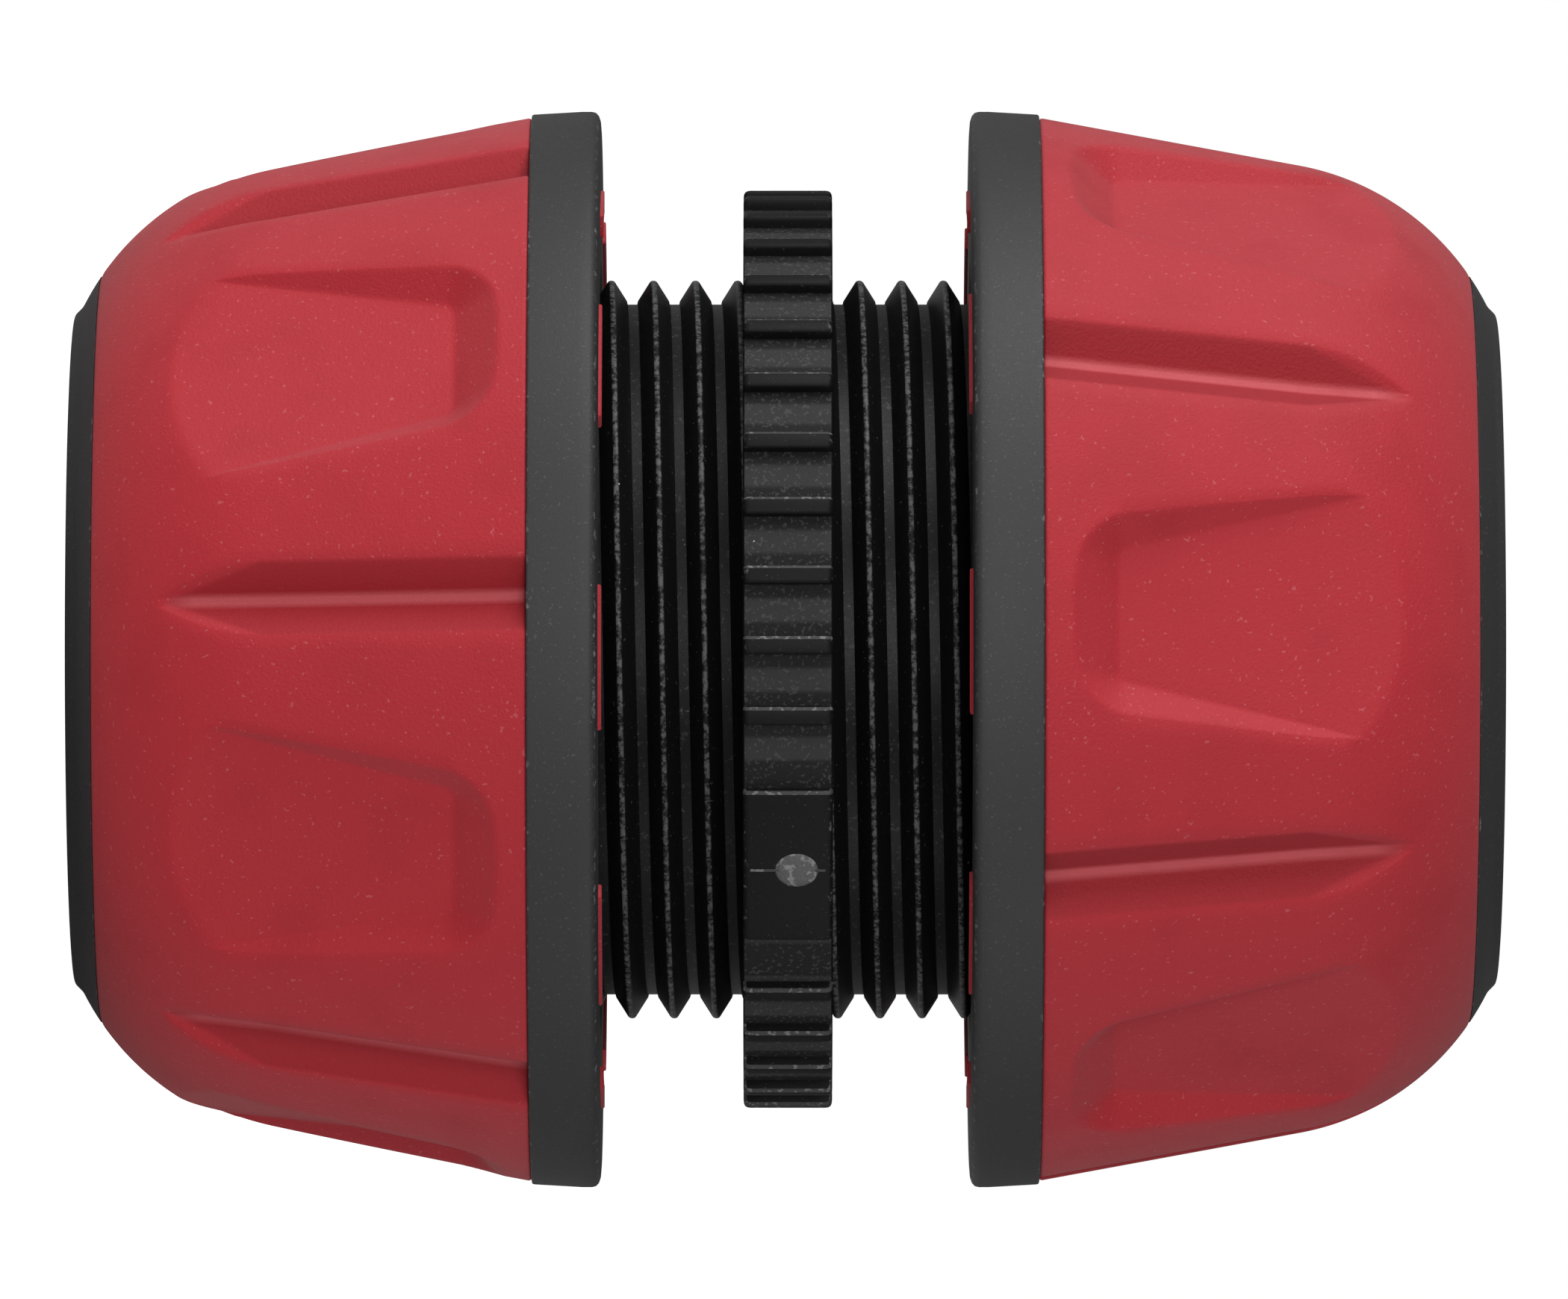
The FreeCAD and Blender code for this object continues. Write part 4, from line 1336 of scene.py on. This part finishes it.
class HOSECONNECTOR_OT_collets(bpy.types.Operator):
    """Build the slotted collets with their toothed fingers"""

    bl_idname = "hose_connector.collets"
    bl_label = "Collets"
    bl_options = {"REGISTER", "UNDO"}

    def execute(self, context):
        collet = context.scene.hose_connector_collet
        plastic = pale_plastic(context.scene.hose_connector_finish)
        fine = 0.08 * MM
        flange_low = collet.top - collet.flange_width
        tip = collet.top - collet.collet_length
        rim_low = collet.top - collet.rim_length
        grip_r = collet.bore - collet.grip
        rim = [
            (collet.bore, collet.top, fine), (collet.flange_radius, collet.top, fine),
            (collet.flange_radius, flange_low, fine), (collet.radius, flange_low, fine),
            (collet.radius, rim_low, fine), (collet.bore, rim_low, fine),
        ]
        finger = [
            (collet.bore, rim_low + 0.3 * MM, 0.0), (collet.radius, rim_low + 0.3 * MM, 0.0),
            (collet.radius, tip + collet.tip_chamfer, fine),
            (collet.radius - collet.tip_chamfer, tip, fine),
        ]
        for i in range(TOOTH_COUNT):
            z = tip + i * collet.tooth_step
            finger.append((grip_r + collet.tooth_height, z, 0.0))
            finger.append((grip_r, z + collet.tooth_step / 4, 0.03 * MM))
        finger.append((collet.bore, tip + TOOTH_COUNT * collet.tooth_step, 0.0))
        step = TURN / collet.finger_count
        ring = swept("collet_rim", eased(rim), plastic, steps=192)
        one = swept("collet_finger", eased(finger), plastic, step - collet.slot_angle, 20)
        fingers = repeated("collet_fingers", one, plastic, collet.finger_count, step, first=step / 2)
        for side, place in NUT_PLACES.items():
            piece(
                side + "_clamping_collet", [moved(ring, place), moved(fingers, place)],
                side + "_clamp", "pale_collet", side + "_collet",
            )
        return {"FINISHED"}


# Name, size, direction from the coupling and distance of each soft light
SOFT_LIGHTS = (
    ("key", (0.5, 0.7), (-0.1, -1.0, -0.06), 0.95),
    ("overhead", (0.7, 0.5), (-0.94, -0.34, 0.25), 0.9),
    ("fill", (0.6, 0.6), (1.0, -0.5, 0.3), 1.0),
)
FLOOR_REACH = 40.0
FLOOR_GLOW = 0.92


class HOSECONNECTOR_OT_stage(bpy.types.Operator):
    """Set up the white studio, its soft lights and the camera"""

    bl_idname = "hose_connector.stage"
    bl_label = "Studio"
    bl_options = {"REGISTER", "UNDO"}

    def floor_finish(self):
        finish = Finish("studio_white", 0.9, Specular_IOR_Level=0.0)
        camera_ray = Value(finish.tree, finish.tree.add("ShaderNodeLightPath").outputs["Is Camera Ray"])
        finish.shader.inputs["Base Color"].default_value = (0.86, 0.86, 0.86, 1.0)
        finish.shader.inputs["Emission Color"].default_value = (1.0, 1.0, 1.0, 1.0)
        finish.tree.plug(camera_ray * FLOOR_GLOW, finish.shader.inputs["Emission Strength"])
        return finish.material

    def world(self, ambient):
        world = bpy.data.worlds.new("studio")
        world.use_nodes = True
        tree = Tree(world.node_tree)
        background = world.node_tree.nodes["Background"]
        camera_ray = Value(tree, tree.add("ShaderNodeLightPath").outputs["Is Camera Ray"])
        tree.plug(tree.either(camera_ray, 1.0, ambient), background.inputs["Strength"])
        background.inputs["Color"].default_value = (1.0, 1.0, 1.0, 1.0)
        bpy.context.scene.world = world

    def soft_light(self, name, power, size, away, distance, aim):
        data = bpy.data.lights.new(name, "AREA")
        data.shape = "RECTANGLE"
        data.size, data.size_y = size
        data.energy = power
        light = bpy.data.objects.new(name, data)
        direction = Vector(away).normalized()
        light.location = Vector(aim) + direction * distance
        light.rotation_euler = direction.to_track_quat("Z", "Y").to_euler()
        bpy.context.scene.collection.objects.link(light)

    def camera(self, stage):
        data = bpy.data.cameras.new("camera")
        data.sensor_width = 36.0
        data.lens = data.sensor_width * stage.distance / stage.framing
        data.clip_start, data.clip_end = 0.01, 100.0
        camera = bpy.data.objects.new("camera", data)
        right, up, back = Vector((0, 0, 1)), Vector((-1, 0, 0)), Vector((0, -1, 0))
        turn = Matrix((right, up, back)).transposed().to_4x4()
        camera.matrix_world = Matrix.Translation((0, -stage.distance, stage.centre)) @ turn
        bpy.context.scene.collection.objects.link(camera)
        bpy.context.scene.camera = camera

    def execute(self, context):
        stage = context.scene.hose_connector_stage
        floor = bpy.data.meshes.new("floor")
        square = ((-1, -1), (1, -1), (1, 1), (-1, 1))
        corners = [(x * FLOOR_REACH, y * FLOOR_REACH, 0) for x, y in square]
        floor.from_pydata(corners, [], [(0, 1, 2, 3)])
        floor.materials.append(self.floor_finish())
        plane = bpy.data.objects.new("floor", floor)
        context.scene.collection.objects.link(plane)
        self.world(stage.ambient)
        aim = (0, 0, stage.centre)
        powers = (stage.key_power, stage.top_power, stage.fill_power)
        for power, (name, size, away, distance) in zip(powers, SOFT_LIGHTS):
            self.soft_light(name, power, size, away, distance, aim)
        self.camera(stage)
        context.scene.view_settings.view_transform = "Standard"
        return {"FINISHED"}


class HOSECONNECTOR_PT_panel(bpy.types.Panel):
    """Buttons for the coupling's pieces and their sizes"""

    bl_idname = "HOSECONNECTOR_PT_panel"
    bl_label = "Hose Connector"
    bl_space_type = "VIEW_3D"
    bl_region_type = "UI"
    bl_category = "Hose Connector"

    def draw(self, context):
        for operator in OPERATORS:
            self.layout.operator(operator.bl_idname)
        for name in GROUPS:
            settings = getattr(context.scene, name)
            box = self.layout.box()
            box.label(text=settings.bl_rna.description)
            for rule in settings.bl_rna.properties:
                if rule.identifier not in {"rna_type", "name"}:
                    box.prop(settings, rule.identifier)


OPERATORS = (
    HOSECONNECTOR_OT_grips,
    HOSECONNECTOR_OT_cores,
    HOSECONNECTOR_OT_body,
    HOSECONNECTOR_OT_collets,
    HOSECONNECTOR_OT_stage,
)
CLASSES = tuple(GROUPS.values()) + OPERATORS + (HOSECONNECTOR_PT_panel,)


def register():
    for cls in CLASSES:
        bpy.utils.register_class(cls)
    for name, group in GROUPS.items():
        setattr(bpy.types.Scene, name, bpy.props.PointerProperty(type=group))


def unregister():
    for name in GROUPS:
        delattr(bpy.types.Scene, name)
    for cls in reversed(CLASSES):
        bpy.utils.unregister_class(cls)


def main():
    register()
    bpy.ops.hose_connector.grips()
    bpy.ops.hose_connector.cores()
    bpy.ops.hose_connector.body()
    bpy.ops.hose_connector.collets()
    bpy.ops.hose_connector.stage()


if __name__ == "__main__":
    main()
